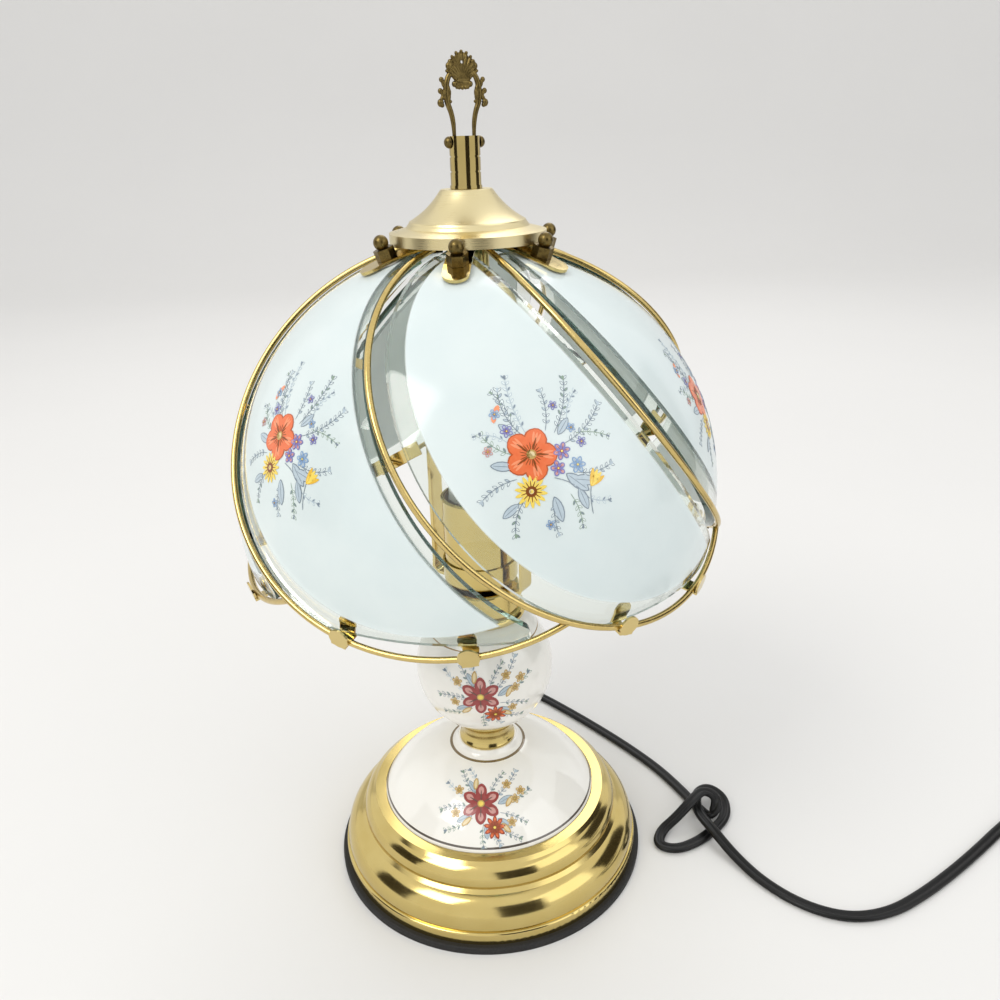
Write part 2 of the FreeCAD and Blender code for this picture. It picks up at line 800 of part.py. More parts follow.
turned("socket_cap", [
    (S.rod_radius + S.rod_fit, HOLDER_LOW),
    (S.holder_radius - S.holder_round, HOLDER_LOW, S.holder_round),
    (S.holder_radius, HOLDER_LOW + S.holder_round),
    (S.holder_radius, HOLDER_TOP),
    (HOLDER_INNER, HOLDER_TOP),
    (HOLDER_INNER, HOLDER_LOW + S.holder_round, -(S.holder_round - S.holder_wall)),
    (S.holder_radius - S.holder_round, HOLDER_FLOOR),
    (S.rod_radius + S.rod_fit, HOLDER_FLOOR),
])

SHELL_LOW = HOLDER_LOW + S.holder_round
SHELL_TOP = SHELL_LOW + S.shell_height
SHELL_INNER = S.shell_radius - S.shell_wall

turned("socket_shell", [
    (SHELL_INNER, SHELL_LOW),
    (S.shell_radius, SHELL_LOW),
    (S.shell_radius, SHELL_TOP - 2 * S.shell_bead, -S.shell_bead * 1.2),
    (S.shell_radius + S.shell_bead, SHELL_TOP - S.shell_bead, S.shell_bead * 1.2),
    (S.shell_radius, SHELL_TOP),
    (SHELL_INNER, SHELL_TOP),
])

LINER_R = SHELL_INNER - S.holder_gap
LINER_INNER = LINER_R - S.liner_wall

turned("socket_liner", [
    (LINER_INNER, SHELL_LOW),
    (LINER_R, SHELL_LOW),
    (LINER_R, SHELL_TOP - S.shell_bead),
    (LINER_INNER, SHELL_TOP - S.shell_bead),
])

CORE_R = LINER_INNER - S.holder_gap
CORE_LOW = HOLDER_LOW + S.core_lift
CORE_TOP = CORE_LOW + S.core_height

turned("socket_core", [
    (0, CORE_LOW),
    (CORE_R, CORE_LOW),
    (CORE_R, CORE_TOP),
    (0, CORE_TOP),
])

SCREW_R = CORE_R - S.screw_wall
SCREW_INNER = SCREW_R - S.screw_wall

turned("screw_shell", [
    (S.bulb_tip + 1, CORE_TOP),
    (SCREW_R, CORE_TOP),
    (SCREW_R, CORE_TOP + S.screw_height),
    (SCREW_INNER, CORE_TOP + S.screw_height),
    (SCREW_INNER, CORE_TOP + S.screw_wall),
    (S.bulb_tip + 1, CORE_TOP + S.screw_wall),
])

BULB_R = SCREW_INNER - S.bulb_gap
BULB_LOW = CORE_TOP + S.bulb_gap
BULB_SEAT = BULB_LOW + S.bulb_base_height
BULB_TOP = BULB_SEAT + S.bulb_height

turned("bulb_base", [
    (0, BULB_LOW),
    (S.bulb_tip, BULB_LOW),
    (BULB_R, BULB_LOW + S.bulb_cone),
    (BULB_R, BULB_SEAT),
    (0, BULB_SEAT),
])

NECK_OUT = BULB_R - S.bulb_gap
NECK_IN = NECK_OUT - S.bulb_wall
BELLY = BULB_SEAT + S.bulb_belly
CROWN_R = S.bulb_radius * 0.6
CROWN_FOOT_R = CROWN_R * 0.7
CROWN_MIDDLE = BULB_TOP - CROWN_R


def crown_foot(radius):
    """The height at which the bulb's round crown of a given radius starts."""
    reach = CROWN_FOOT_R / CROWN_R * radius
    return CROWN_MIDDLE + root(radius * radius - reach * reach)


CROWN_IN_R = CROWN_R - S.bulb_wall

turned("bulb_glass", [
    (NECK_IN, BULB_SEAT),
    (NECK_OUT, BULB_SEAT),
    (NECK_OUT, BULB_SEAT + S.bulb_neck, -S.bulb_radius * 3),
    (S.bulb_radius, BELLY, S.bulb_height * 0.9),
    (CROWN_FOOT_R, crown_foot(CROWN_R), CROWN_R),
    (0, BULB_TOP),
    (0, BULB_TOP - S.bulb_wall, -CROWN_IN_R),
    (CROWN_FOOT_R / CROWN_R * CROWN_IN_R, crown_foot(CROWN_IN_R), -(S.bulb_height * 0.9 - S.bulb_wall)),
    (S.bulb_radius - S.bulb_wall, BELLY, S.bulb_radius * 3 + S.bulb_wall),
    (NECK_IN, BULB_SEAT + S.bulb_neck),
])


# ---------------------------------------------------------------- glass petals

SHADE_CENTRE = HUB_LOW - S.hub_lift - S.glass_radius
CENTRE = Vector(0, 0, SHADE_CENTRE.number)
GLASS_OUT = S.glass_radius.number
GLASS_IN = GLASS_OUT - S.glass_thickness.number
RIB_LINE = GLASS_OUT + S.rib_clearance.number + S.rib_radius.number
SCREW_POLAR = math.degrees(math.asin(S.screw_reach.number / GLASS_OUT))


def aim(azimuth, polar):
    """The unit vector from the shade's centre at an azimuth and polar angle in degrees."""
    turn, tilt = math.radians(azimuth), math.radians(polar)
    return Vector(math.sin(tilt) * math.sin(turn), -math.sin(tilt) * math.cos(turn), math.cos(tilt))


def cone(azimuth, polar, half_angle):
    """A solid cone with its point at the shade's centre, deep enough to reach past the glass."""
    depth = GLASS_OUT * 1.1
    base = depth * math.tan(math.radians(half_angle))
    return Part.makeCone(0, base, depth, CENTRE, aim(azimuth, polar))


def ball(radius):
    return Part.makeSphere(radius, CENTRE)


def rod_at(azimuth, polar, radius, near, far):
    """A round bar on a ray from the shade's centre, between two distances."""
    ray = aim(azimuth, polar)
    return Part.makeCylinder(radius, far - near, CENTRE + ray * near, ray)


def glass_petal():
    """The piece of a glass sphere between two cones: round at its left and foot, hollow at its right."""
    azimuth, polar = S.petal_azimuth_angle.number, S.petal_polar_angle.number
    spread = S.petal_spread_angle.number
    gap = math.degrees(S.petal_gap.number / GLASS_OUT)
    glass = ball(GLASS_OUT).cut(ball(GLASS_IN))
    glass = glass.common(cone(azimuth, polar, spread))
    glass = glass.cut(cone(azimuth + STEP, polar, spread + gap))
    glass = glass.cut(cone(0, 0, S.petal_top_angle.number))
    edge = SHADE_CENTRE.number + GLASS_OUT * math.cos(math.radians(S.petal_bottom_angle.number))
    wide = 3 * GLASS_OUT
    glass = glass.cut(Part.makeBox(wide, wide, edge, Vector(-wide / 2, -wide / 2, 0)))
    glass = max(glass.Solids, key=lambda solid: solid.Volume)
    corners = [e for e in glass.Edges if e.Curve.TypeId == "Part::GeomLine"]
    glass = glass.makeFillet(S.petal_corner.number, corners)
    hole = rod_at(S.strap_azimuth_angle.number, SCREW_POLAR, S.petal_hole.number,
                  GLASS_IN * 0.9, GLASS_OUT * 1.1)
    return glass.cut(hole)


petal = glass_petal()
for number in range(PETALS):
    from_shape(f"petal_{number + 1}", petal, turn_z(STEP * number))


# ---------------------------------------------------------------- ribs


def on_line(azimuth, polar):
    return CENTRE + aim(azimuth, polar) * RIB_LINE


def arc_on_sphere(start, direction, stop):
    """The circle arc on the ribs' sphere that leaves a point in a direction and ends at another."""
    chord = stop - start
    across = chord - direction * chord.dot(direction)
    radius = chord.dot(chord) / (2 * across.Length)
    centre = start + across.normalize() * radius
    middle = centre + ((start + stop) / 2 - centre).normalize() * radius
    return Part.Arc(start, middle, stop).toShape()


def rib_path(end_azimuth):
    """Three arcs that join smoothly, from under the hub round to the next rib."""
    first = Part.Arc(
        on_line(S.rib_start_azimuth_angle.number, S.rib_start_polar_angle.number),
        on_line(S.rib_upper_azimuth_angle.number, S.rib_upper_polar_angle.number),
        on_line(S.rib_side_azimuth_angle.number, S.rib_side_polar_angle.number),
    ).toShape()
    edges = [first]
    low_azimuth, low_polar = S.rib_lower_azimuth_angle.number, S.rib_lower_polar_angle.number
    share = (end_azimuth - low_azimuth) / (S.rib_end_azimuth_angle.number - low_azimuth)
    end_polar = low_polar + share * (S.rib_end_polar_angle.number - low_polar)
    for azimuth, polar in (
        (S.rib_lower_azimuth_angle.number, S.rib_lower_polar_angle.number),
        (end_azimuth, end_polar),
    ):
        last = edges[-1]
        edges.append(arc_on_sphere(last.valueAt(last.LastParameter), last.tangentAt(last.LastParameter),
                                   on_line(azimuth, polar)))
    return edges


def rib_end():
    """The azimuth at which a rib's end just touches the side of the next rib."""
    neighbour = moved(rib_path(S.rib_end_azimuth_angle.number)[0], turn_z(STEP))
    near, far = S.rib_lower_azimuth_angle.number, S.rib_end_azimuth_angle.number
    for _ in range(20):
        middle = (near + far) / 2
        tip = rib_path(middle)[-1]
        gap = Part.Vertex(tip.valueAt(tip.LastParameter)).distToShape(neighbour)[0]
        if gap > 2 * S.rib_radius.number + S.rod_fit.number:
            near = middle
        else:
            far = middle
    return near


def swept(edges, radius):
    """A round bar along a chain of edges, and the length of the chain."""
    first = edges[0]
    start = first.valueAt(first.FirstParameter)
    ahead = first.tangentAt(first.FirstParameter)
    ring = Part.Wire(Part.Circle(start, ahead, radius).toShape())
    path = Part.Wire(edges)
    return path.makePipeShell([ring], True, False), path.Length


RIB_EDGES = rib_path(rib_end())
rib, rib_length = swept(RIB_EDGES, S.rib_radius.number)
beside, beside_length = swept(RIB_EDGES, S.rib_radius.number + S.rod_fit.number)
rib = rib.cut(moved(beside, turn_z(STEP)))
rib = max(rib.Solids, key=lambda solid: solid.Volume)
print(f"ribs: {rib_length:.1f} mm long, volume {rib.Volume:.1f} mm3 with the end fitted to the next rib")
for number in range(PETALS):
    from_shape(f"rib_{number + 1}", rib, turn_z(STEP * number))


def rib_frame(azimuth):
    """A frame on the first rib at an azimuth: X back along it, Y down across it, Z outwards."""
    best = None
    for edge in RIB_EDGES:
        for point_number in range(201):
            spot = edge.FirstParameter + (edge.LastParameter - edge.FirstParameter) * point_number / 200
            point = edge.valueAt(spot)
            miss = abs(math.degrees(math.atan2(point.x, -point.y)) - azimuth)
            if best is None or miss < best[0]:
                best = (miss, point, edge.tangentAt(spot))
    miss, point, along = best
    outward = (point - CENTRE).normalize()
    down = along.cross(outward)
    return Placement(point, Rotation(-along, down, outward, "ZXY"))


def glass_clip(azimuth):
    """A strip bent into a U under a petal's lower edge and its rib, with a round ear on each side."""
    t = S.clip_thickness.number
    outer = S.rib_radius.number + S.clip_gap.number
    inner = GLASS_IN - S.rib_clearance.number - t - RIB_LINE
    floor = S.rib_radius.number + S.clip_gap.number
    width = S.clip_width.number
    ear = Part.makeCylinder(S.clip_ear.number, t, Vector(0, -S.clip_ear_rise.number, outer))
    ear = ear.fuse(Part.makeBox(width, floor + t + S.clip_ear_rise.number, t,
                                Vector(-width / 2, -S.clip_ear_rise.number, outer)))
    under = Part.makeBox(width, t, outer + t - inner, Vector(-width / 2, floor, inner))
    back = Part.makeCylinder(S.clip_inner_ear.number, t, Vector(0, -S.clip_inner_rise.number, inner))
    back = back.fuse(Part.makeBox(width, floor + t + S.clip_inner_rise.number, t,
                                  Vector(-width / 2, -S.clip_inner_rise.number, inner)))
    clip = ear.fuse([under, back]).removeSplitter()
    return moved(clip, rib_frame(azimuth))


clips = [glass_clip(S.clip_left_azimuth_angle.number), glass_clip(S.clip_right_azimuth_angle.number)]
from_shape("glass_clips", Part.makeCompound([moved(c, turn_z(STEP * n)) for n in range(PETALS) for c in clips]))


def glass_rest():
    """A short strip inside the glass, across the gap, on a post that stands on the rib."""
    t = S.clip_thickness.number
    top = GLASS_IN - S.rest_gap.number - RIB_LINE
    length, width = S.rest_length.number, S.rest_width.number
    strip = Part.makeBox(width, length, t, Vector(-width / 2, -length / 2, top - t))
    post = Part.makeCylinder(S.rest_post.number, -S.rib_radius.number - S.rod_fit.number - top + t,
                             Vector(0, 0, top - t))
    return moved(strip.fuse(post).removeSplitter(), rib_frame(S.rest_azimuth_angle.number))


from_shape("glass_rests", around(glass_rest()))


# ---------------------------------------------------------------- hub, straps and their fasteners

HUB_TOP = HUB_LOW + S.hub_thickness

turned("shade_hub", [
    (S.stud_radius + S.stud_fit, HUB_LOW),
    (S.hub_radius, HUB_LOW),
    (S.hub_radius, HUB_LOW + S.hub_rim_height),
    (S.hub_radius - S.hub_rim, HUB_LOW + S.hub_rim_height),
    (S.hub_radius - S.hub_rim, HUB_TOP),
    (S.stud_radius + S.stud_fit, HUB_TOP),
])

STRAP_IN = S.glass_radius + S.strap_gap
STRAP_OUT = STRAP_IN + S.strap_thickness


def strap_profile():
    """Flat under the hub, then down over the glass at a steady distance."""
    flat_low = HUB_LOW - S.strap_thickness
    land_low = SHADE_CENTRE + root(STRAP_IN * STRAP_IN - S.strap_land * S.strap_land)
    land_high = SHADE_CENTRE + root(STRAP_OUT * STRAP_OUT - S.strap_land * S.strap_land)
    end_sine, end_cosine = sine(S.strap_end_angle), cosine(S.strap_end_angle)
    return [
        (S.strap_start, flat_low),
        (S.strap_bend, flat_low),
        (S.strap_land, land_low, -STRAP_IN),
        (STRAP_IN * end_sine, SHADE_CENTRE + STRAP_IN * end_cosine),
        (STRAP_OUT * end_sine, SHADE_CENTRE + STRAP_OUT * end_cosine, STRAP_OUT),
        (S.strap_land, land_high),
        (S.strap_bend, HUB_LOW),
        (S.strap_start, HUB_LOW),
    ]


def at_strap_end(edge):
    """True for the two short edges at a strap's outer corners."""
    reach = (edge.CenterOfMass.x, edge.CenterOfMass.z)
    side = abs(edge.CenterOfMass.y) - S.strap_width.number / 2
    return abs(side) < 0.01 and edge.Length < S.strap_thickness.number * 1.1 and reach[0] > STRAP_FAR


STRAP_FAR = (STRAP_IN * sine(S.strap_end_angle)).number - 0.5
SLOT_MIDDLE = (STRAP_IN + S.strap_thickness / 2) * S.screw_reach / S.glass_radius

for number in range(PETALS):
    strap = new_body(f"strap_{number + 1}")
    side = new_sketch(strap, "XZ_Plane", f"strap_side_{number + 1}")
    outline(side, strap_profile())
    blank = pad(strap, side, S.strap_width, both_ways=True)
    rounded(strap, blank, S.strap_width * 0.49, at_strap_end)
    slot = new_sketch(strap, "XY_Plane", f"strap_slot_{number + 1}", HUB_LOW)
    reach, half = S.strap_slot_length / 2, S.strap_slot / 2
    outline(slot, [
        (SLOT_MIDDLE - reach, -half),
        (SLOT_MIDDLE + reach, -half),
        (SLOT_MIDDLE + reach, half),
        (SLOT_MIDDLE - reach, half),
    ])
    pocket(strap, slot, S.strap_width)
    azimuth = S.strap_azimuth_angle - 90 + STEP * number
    strap.Placement = turn_z(azimuth.number)
    strap.setExpression("Placement.Rotation.Angle", azimuth.text + " * 1 deg")


def petal_screw():
    """A pan head inside the glass and a shank out through it into the nut."""
    seat = GLASS_IN - S.grommet_fit.number * 2 - S.grommet_thickness.number
    head = rod_at(S.strap_azimuth_angle.number, SCREW_POLAR, S.petal_screw_head.number,
                  seat - S.petal_screw_head_height.number, seat)
    shank = rod_at(S.strap_azimuth_angle.number, SCREW_POLAR, S.petal_screw.number,
                   seat - 0.5, STRAP_OUT.number + S.ball_nut_height.number)
    return head.fuse(shank).removeSplitter()


def petal_grommet():
    """A rubber sleeve in the hole with a flange on each face of the glass."""
    azimuth, polar = S.strap_azimuth_angle.number, SCREW_POLAR
    fit, flange = S.grommet_fit.number, S.grommet_thickness.number
    inner, outer = GLASS_IN - 2 * fit, GLASS_OUT + fit
    sleeve = rod_at(azimuth, polar, S.petal_hole.number - fit, inner - flange, outer + flange)
    sleeve = sleeve.fuse([
        rod_at(azimuth, polar, S.grommet_flange.number, inner - flange, inner),
        rod_at(azimuth, polar, S.grommet_flange.number, outer, outer + flange),
    ]).removeSplitter()
    return sleeve.cut(rod_at(azimuth, polar, S.petal_screw.number + fit, inner - 5, outer + 5))


def ball_nut():
    """A hexagon with a ball on top and a blind hole for the screw."""
    ray = aim(S.strap_azimuth_angle.number, SCREW_POLAR)
    across = S.ball_nut_flats.number / math.sqrt(3)
    corners = [Vector(across * math.cos(math.radians(60 * n)), across * math.sin(math.radians(60 * n)), 0)
               for n in range(7)]
    height = S.ball_nut_height.number
    block = Part.Face(Part.makePolygon(corners)).extrude(Vector(0, 0, height))
    crown = Part.makeSphere(S.ball_nut_ball.number, Vector(0, 0, height + S.ball_nut_ball.number * 0.75))
    bore = Part.makeCylinder(S.petal_screw.number + S.rod_fit.number, height + S.rod_fit.number)
    nut = block.fuse(crown).removeSplitter().cut(bore)
    seat = CENTRE + ray * (STRAP_OUT.number + S.rod_fit.number)
    return moved(nut, Placement(seat, Rotation(Vector(0, 0, 1), ray)))


from_shape("petal_screws", around(petal_screw()))
from_shape("petal_grommets", around(petal_grommet()))
from_shape("ball_nuts", around(ball_nut()))


# ---------------------------------------------------------------- cap and finial

SLOPE_R = S.cap_radius - S.cap_slope_run
STEP_IN_R = SLOPE_R - S.cap_step_run
C = S.cap_sheet

turned("shade_cap", [
    (S.cap_radius, CAP_LOW),
    (S.cap_radius, SKIRT_TOP),
    (SLOPE_R, SLOPE_TOP),
    (SLOPE_R - S.cap_step_run / 2, SLOPE_TOP + S.cap_step_rise / 2, -S.cap_step_rise),
    (STEP_IN_R, STEP_TOP, -S.cap_cone_rise * 3),
    (S.cap_top_radius + C, CAP_TOP - C, S.cap_cone_rise / 4),
    (S.cap_top_radius, CAP_TOP),
    (S.stud_radius + S.stud_fit, CAP_TOP),
    (S.stud_radius + S.stud_fit, CAP_TOP - C),
    (S.cap_top_radius - C / 2, CAP_TOP - C, S.cap_cone_rise * 3),
    (STEP_IN_R - C, STEP_TOP - C / 2),
    (SLOPE_R - C, SLOPE_TOP - C / 2),
    (S.cap_radius - C, SKIRT_TOP - C),
    (S.cap_radius - C, CAP_LOW),
])

PIVOT = NECK_TOP - S.pivot_depth
GROOVE_R = S.neck_radius - S.neck_groove


def groove(height):
    """The four corners of a turned groove in the neck."""
    low = NECK_LOW + height - S.neck_groove_width / 2
    high = NECK_LOW + height + S.neck_groove_width / 2
    return [(S.neck_radius, low), (GROOVE_R, low), (GROOVE_R, high), (S.neck_radius, high)]


finial_neck = turned("finial_neck", [
    (S.stud_radius + S.stud_fit, NECK_LOW),
    (S.neck_foot, NECK_LOW),
    (S.neck_foot, NECK_LOW + S.neck_foot_height),
    (S.neck_radius, NECK_LOW + S.neck_foot_height),
    *groove(S.neck_groove_low),
    *groove(S.neck_groove_high),
    (S.neck_radius, NECK_TOP),
    (S.neck_cup, NECK_TOP),
    (S.neck_cup, NECK_TOP - S.neck_cup_depth),
    (S.stud_radius + S.stud_fit, NECK_TOP - S.neck_cup_depth),
])
pin_hole = new_sketch(finial_neck, "YZ_Plane", "neck_pin_hole")
round_hole(pin_hole, 0, PIVOT, S.pin_radius + S.pin_fit / 2)
pocket(finial_neck, pin_hole, 4 * S.neck_radius, both_ways=True)
finial_neck.Placement = turn_z(S.handle_azimuth_angle.number)
finial_neck.setExpression("Placement.Rotation.Angle", S.handle_azimuth_angle.text + " * 1 deg")


def handle_pin(side):
    """A pin through the neck's wall and a leg's eye, with a half-round head outside."""
    start = S.leg_inner.number - S.pin_fit.number
    head_at = S.neck_radius.number + S.pin_fit.number
    level = PIVOT.number
    reach = Vector(side, 0, 0)
    shank = Part.makeCylinder(S.pin_radius.number, head_at + 0.5 - start, Vector(side * start, 0, level), reach)
    dome = Part.makeSphere(S.pin_head.number, Vector(side * head_at, 0, level))
    slab = Part.makeCylinder(S.pin_head.number * 1.5, S.pin_head.number * 1.5,
                             Vector(side * head_at, 0, level), reach)
    return shank.fuse(dome.common(slab)).removeSplitter()


from_shape("handle_pins", Part.makeCompound([handle_pin(-1), handle_pin(1)]), turn_z(S.handle_azimuth_angle.number))

LEG_LOW = PIVOT - S.leg_width
LEG_IN = S.leg_inner
LEG_OUT = S.leg_inner + S.leg_width
CR = S.crest_radius


def handle_half():
    """The right half of the handle, from the crest's top round outside, down the leg and up inside."""
    return [
        (1.1, PIVOT + 30.8, -CR),
        (3.0, PIVOT + 29.5, -CR),
        (4.6, PIVOT + 27.6, -CR),
        (5.6, PIVOT + 25.4, -CR * 1.2),
        (5.2, PIVOT + 23.0),
        (6.6, PIVOT + 21.4, -CR),
        (8.6, PIVOT + 20.6, -CR),
        (7.7, PIVOT + 18.8),
        (8.3, PIVOT + 17.8, -CR),
        (9.5, PIVOT + 16.2, -CR),
        (10.1, PIVOT + 14.2, -CR),
        (9.9, PIVOT + 12.0, -CR),
        (7.9, PIVOT + 11.9),
        (7.2, PIVOT + 12.8, -30),
        (5.6, PIVOT + 7.5, -30),
        (LEG_OUT, PIVOT + S.pivot_depth + 1),
        (LEG_OUT, LEG_LOW),
        (LEG_IN, LEG_LOW),
        (LEG_IN, PIVOT + S.pivot_depth + 1, 30),
        (4.2, PIVOT + 8.5, 30),
        (5.3, PIVOT + 13.4),
        (5.0, PIVOT + 17.5),
        (4.9, PIVOT + 19.6),
        (4.2, PIVOT + 18.2, -CR * 0.8),
        (2.6, PIVOT + 17.7, -CR * 0.8),
        (0.9, PIVOT + 17.6, -CR * 0.8),
    ]


def mirrored(half):
    """The other half of a loop, on the far side of the upright axis."""
    flipped = []
    for number in range(len(half) - 1, -1, -1):
        x, y = half[number][:2]
        bend = half[number - 1][2:] if number > 0 else half[-1][2:]
        flipped.append((-as_size(x), y, *bend))
    return flipped


def handle_loop():
    half = handle_half()
    left = mirrored(half)
    top_bend = half[0][2]
    left[-1] = (left[-1][0], left[-1][1], top_bend)
    return half + left


finial_handle = new_body("finial_handle")
face = new_sketch(finial_handle, "XZ_Plane", "handle_face")
outline(face, handle_loop())
round_hole(face, 0, PIVOT + 26.8, S.crest_eye)
pad(finial_handle, face, S.handle_thickness, both_ways=True)
eyes = new_sketch(finial_handle, "YZ_Plane", "handle_eyes")
round_hole(eyes, 0, PIVOT, S.pin_radius + S.pin_fit)
pocket(finial_handle, eyes, 4 * LEG_OUT, both_ways=True)
finial_handle.Placement = turn_z(S.handle_azimuth_angle.number)
finial_handle.setExpression("Placement.Rotation.Angle", S.handle_azimuth_angle.text + " * 1 deg")


# ---------------------------------------------------------------- cord, coil and plug


def bent_path(points, share=0.45):
    """Straight runs joined by tangent arcs, and the arcs' radii."""
    points = [Vector(*point) for point in points]
    edges, radii, last = [], [], points[0]
    for before, corner, after in zip(points, points[1:], points[2:]):
        back, ahead = before - corner, after - corner
        reach = share * min(back.Length, ahead.Length)
        back.normalize()
        ahead.normalize()
        half_turn = (math.pi - back.getAngle(ahead)) / 2
        radius = reach / math.tan(half_turn)
        start, stop = corner + back * reach, corner + ahead * reach
        inward = (back + ahead).normalize()
        middle = corner + inward * (radius / math.cos(half_turn) - radius)
        edges.append(Part.LineSegment(last, start).toShape())
        edges.append(Part.Arc(start, middle, stop).toShape())
        radii.append(radius)
        last = stop
    edges.append(Part.LineSegment(last, points[-1]).toShape())
    return edges, radii


def report_cord(name, solid, length, radius, radii):
    expected = length * math.pi * radius ** 2
    print(f"{name}: length {length:.1f} mm, volume {solid.Volume:.0f} against {expected:.0f} mm3")
    print(f"{name}: radii " + " ".join(f"{value:.1f}" for value in radii))


def cord_tube(label, points, radius, share=0.45):
    edges, radii = bent_path(points, share)
    tube, length = swept(edges, radius)
    report_cord(label, tube, length, radius, radii)
    from_shape(label, tube)


WALL_OUT = root(S.foot_radius * S.foot_radius - S.exit_side * S.exit_side)
WALL_IN = WALL_OUT - S.sheet
FLANGE_AT = WALL_OUT + S.dome_gap
FLANGE_END = FLANGE_AT + S.bush_flange_thickness
RELIEF_END = FLANGE_END + S.relief_length
BORE_R = S.cord_radius + S.bush_bore_gap

bushing = turned("cord_bushing", [
    (BORE_R, WALL_IN - S.bush_inside),
    (BUSH_R, WALL_IN - S.bush_inside),
    (BUSH_R, FLANGE_AT),
    (S.bush_flange, FLANGE_AT),
    (S.bush_flange, FLANGE_END),
    (BUSH_R + S.bush_bore_gap, FLANGE_END),
    (S.bush_tip, RELIEF_END),
    (BORE_R, RELIEF_END),
])
bushing.Placement = Placement(Vector(S.exit_side.number, 0, S.exit_height.number), Rotation(Vector(1, 0, 0), -90))
bushing.setExpression("Placement.Base.x", S.exit_side.text)
bushing.setExpression("Placement.Base.z", S.exit_height.text)

EXIT = (S.exit_side.number, RELIEF_END.number, S.exit_height.number)
cord_tube("cord", [EXIT] + CORD_ROUTE, S.cord_radius.number)

MODULE_MIDDLE = (-S.module_offset - S.module_length / 2).number
LEAD_HEIGHT = (WEIGHT_TOP + S.module_height / 2).number
MOUTH = (WALL_IN - S.bush_inside).number
cord_tube("cord_inner", [
    (MODULE_MIDDLE, S.module_length.number / 2, LEAD_HEIGHT),
    (MODULE_MIDDLE, MOUTH - 42.5, LEAD_HEIGHT),
    (EXIT[0] - 11.0, MOUTH - 31.5, LEAD_HEIGHT - 0.5),
    (EXIT[0] - 5.5, MOUTH - 20.5, LEAD_HEIGHT - 2.0),
    (EXIT[0] - 1.5, MOUTH - 11.5, EXIT[2] + 9.7),
    (EXIT[0], MOUTH - 5.0, EXIT[2]),
    (EXIT[0], EXIT[1] - 0.3 * S.cord_radius.number, EXIT[2]),
], S.cord_radius.number)

LEAD_BEND = S.module_offset.number * 0.9
cord_tube("socket_lead", [
    (-S.module_offset.number, 0, LEAD_HEIGHT),
    (0, 0, LEAD_HEIGHT),
    (0, 0, CORE_LOW.number),
], S.lead_radius.number, 0.9)


def coil_points():
    """Points and directions on the wound cord, a quarter turn apart, and the coil's two ends."""
    start = Vector(*CORD_ROUTE[-1])
    ahead = (start - Vector(*CORD_ROUTE[-2])).normalize()
    lead = 2 * S.cord_radius.number
    outer, pitch = S.coil_radius.number, S.coil_pitch.number
    turns_in = COIL_TURNS * 2 * math.pi
    total = 2 * turns_in + math.pi
    inner = outer - pitch * COIL_TURNS
    first = start + ahead * lead
    right = ahead.cross(Vector(0, 0, 1))
    hub = first + right * outer
    begin = math.atan2(first.y - hub.y, first.x - hub.x)

    def place(swing):
        if swing <= turns_in:
            radius, climb = outer - pitch * swing / (2 * math.pi), 0.0
        elif swing <= turns_in + math.pi:
            radius, climb = inner, (swing - turns_in) / math.pi
        else:
            radius, climb = inner + pitch * (swing - turns_in - math.pi) / (2 * math.pi), 1.0
        ease = climb * climb * (3 - 2 * climb)
        angle = begin - swing
        height = start.z + S.coil_climb.number * ease
        return Vector(hub.x + radius * math.cos(angle), hub.y + radius * math.sin(angle), height)

    points = []
    for number in range(round(total / (math.pi / 2)) + 1):
        swing = number * math.pi / 2
        nudge = 0.001
        before, after = max(swing - nudge, 0.0), min(swing + nudge, total)
        points.append((place(swing), (place(after) - place(before)).normalize()))
    points[0] = (points[0][0], ahead)
    return start, points, place, total


def biarc(start, start_ahead, stop, stop_ahead):
    """Two arcs that leave one point in its direction and reach another in its own."""
    chord = stop - start
    turn = chord.dot(start_ahead + stop_ahead)
    spread = 2 * (1 - start_ahead.dot(stop_ahead))
    arm = (-turn + math.sqrt(turn * turn + spread * chord.dot(chord))) / spread
    middle = (start + stop + (start_ahead - stop_ahead) * arm) / 2
    knee_one = start + start_ahead * arm
    knee_two = stop - stop_ahead * arm
    edges = []
    for first, knee, last in ((start, knee_one, middle), (middle, knee_two, stop)):
        back, onward = (first - knee).normalize(), (last - knee).normalize()
        half_turn = (math.pi - back.getAngle(onward)) / 2
        radius = arm / math.tan(half_turn)
        inward = (back + onward).normalize()
        crown = knee + inward * (radius / math.cos(half_turn) - radius)
        edges.append(Part.Arc(first, crown, last).toShape())
    return edges


def least_gap(place, total, diameter):
    """The least space between a wound cord and itself, measured on points half a turn or more apart."""
    count = 360
    spots = [place(total * n / count) for n in range(count + 1)]
    half = math.ceil(count * math.pi / total)
    return min((spots[a] - spots[b]).Length for a in range(count + 1) for b in range(a + half, count + 1)) - diameter


coil_start, coil_spots, coil_place, coil_total = coil_points()
coil_edges = [Part.LineSegment(coil_start, coil_spots[0][0]).toShape()]
for (here, here_ahead), (there, there_ahead) in zip(coil_spots, coil_spots[1:]):
    coil_edges += biarc(here, here_ahead, there, there_ahead)
tail_start, tail_ahead = coil_spots[-1]
COIL_END = tail_start + tail_ahead * S.coil_tail.number
coil_edges.append(Part.LineSegment(tail_start, COIL_END).toShape())
coil, coil_length = swept(coil_edges, S.cord_radius.number)
coil_radii = [edge.Curve.Radius for edge in coil_edges if edge.Curve.TypeId == "Part::GeomCircle"]
report_cord("cord_coil", coil, coil_length, S.cord_radius.number, [min(coil_radii), max(coil_radii)])
print(f"cord_coil: least gap {least_gap(coil_place, coil_total, 2 * S.cord_radius.number):.2f} mm")
from_shape("cord_coil", coil)

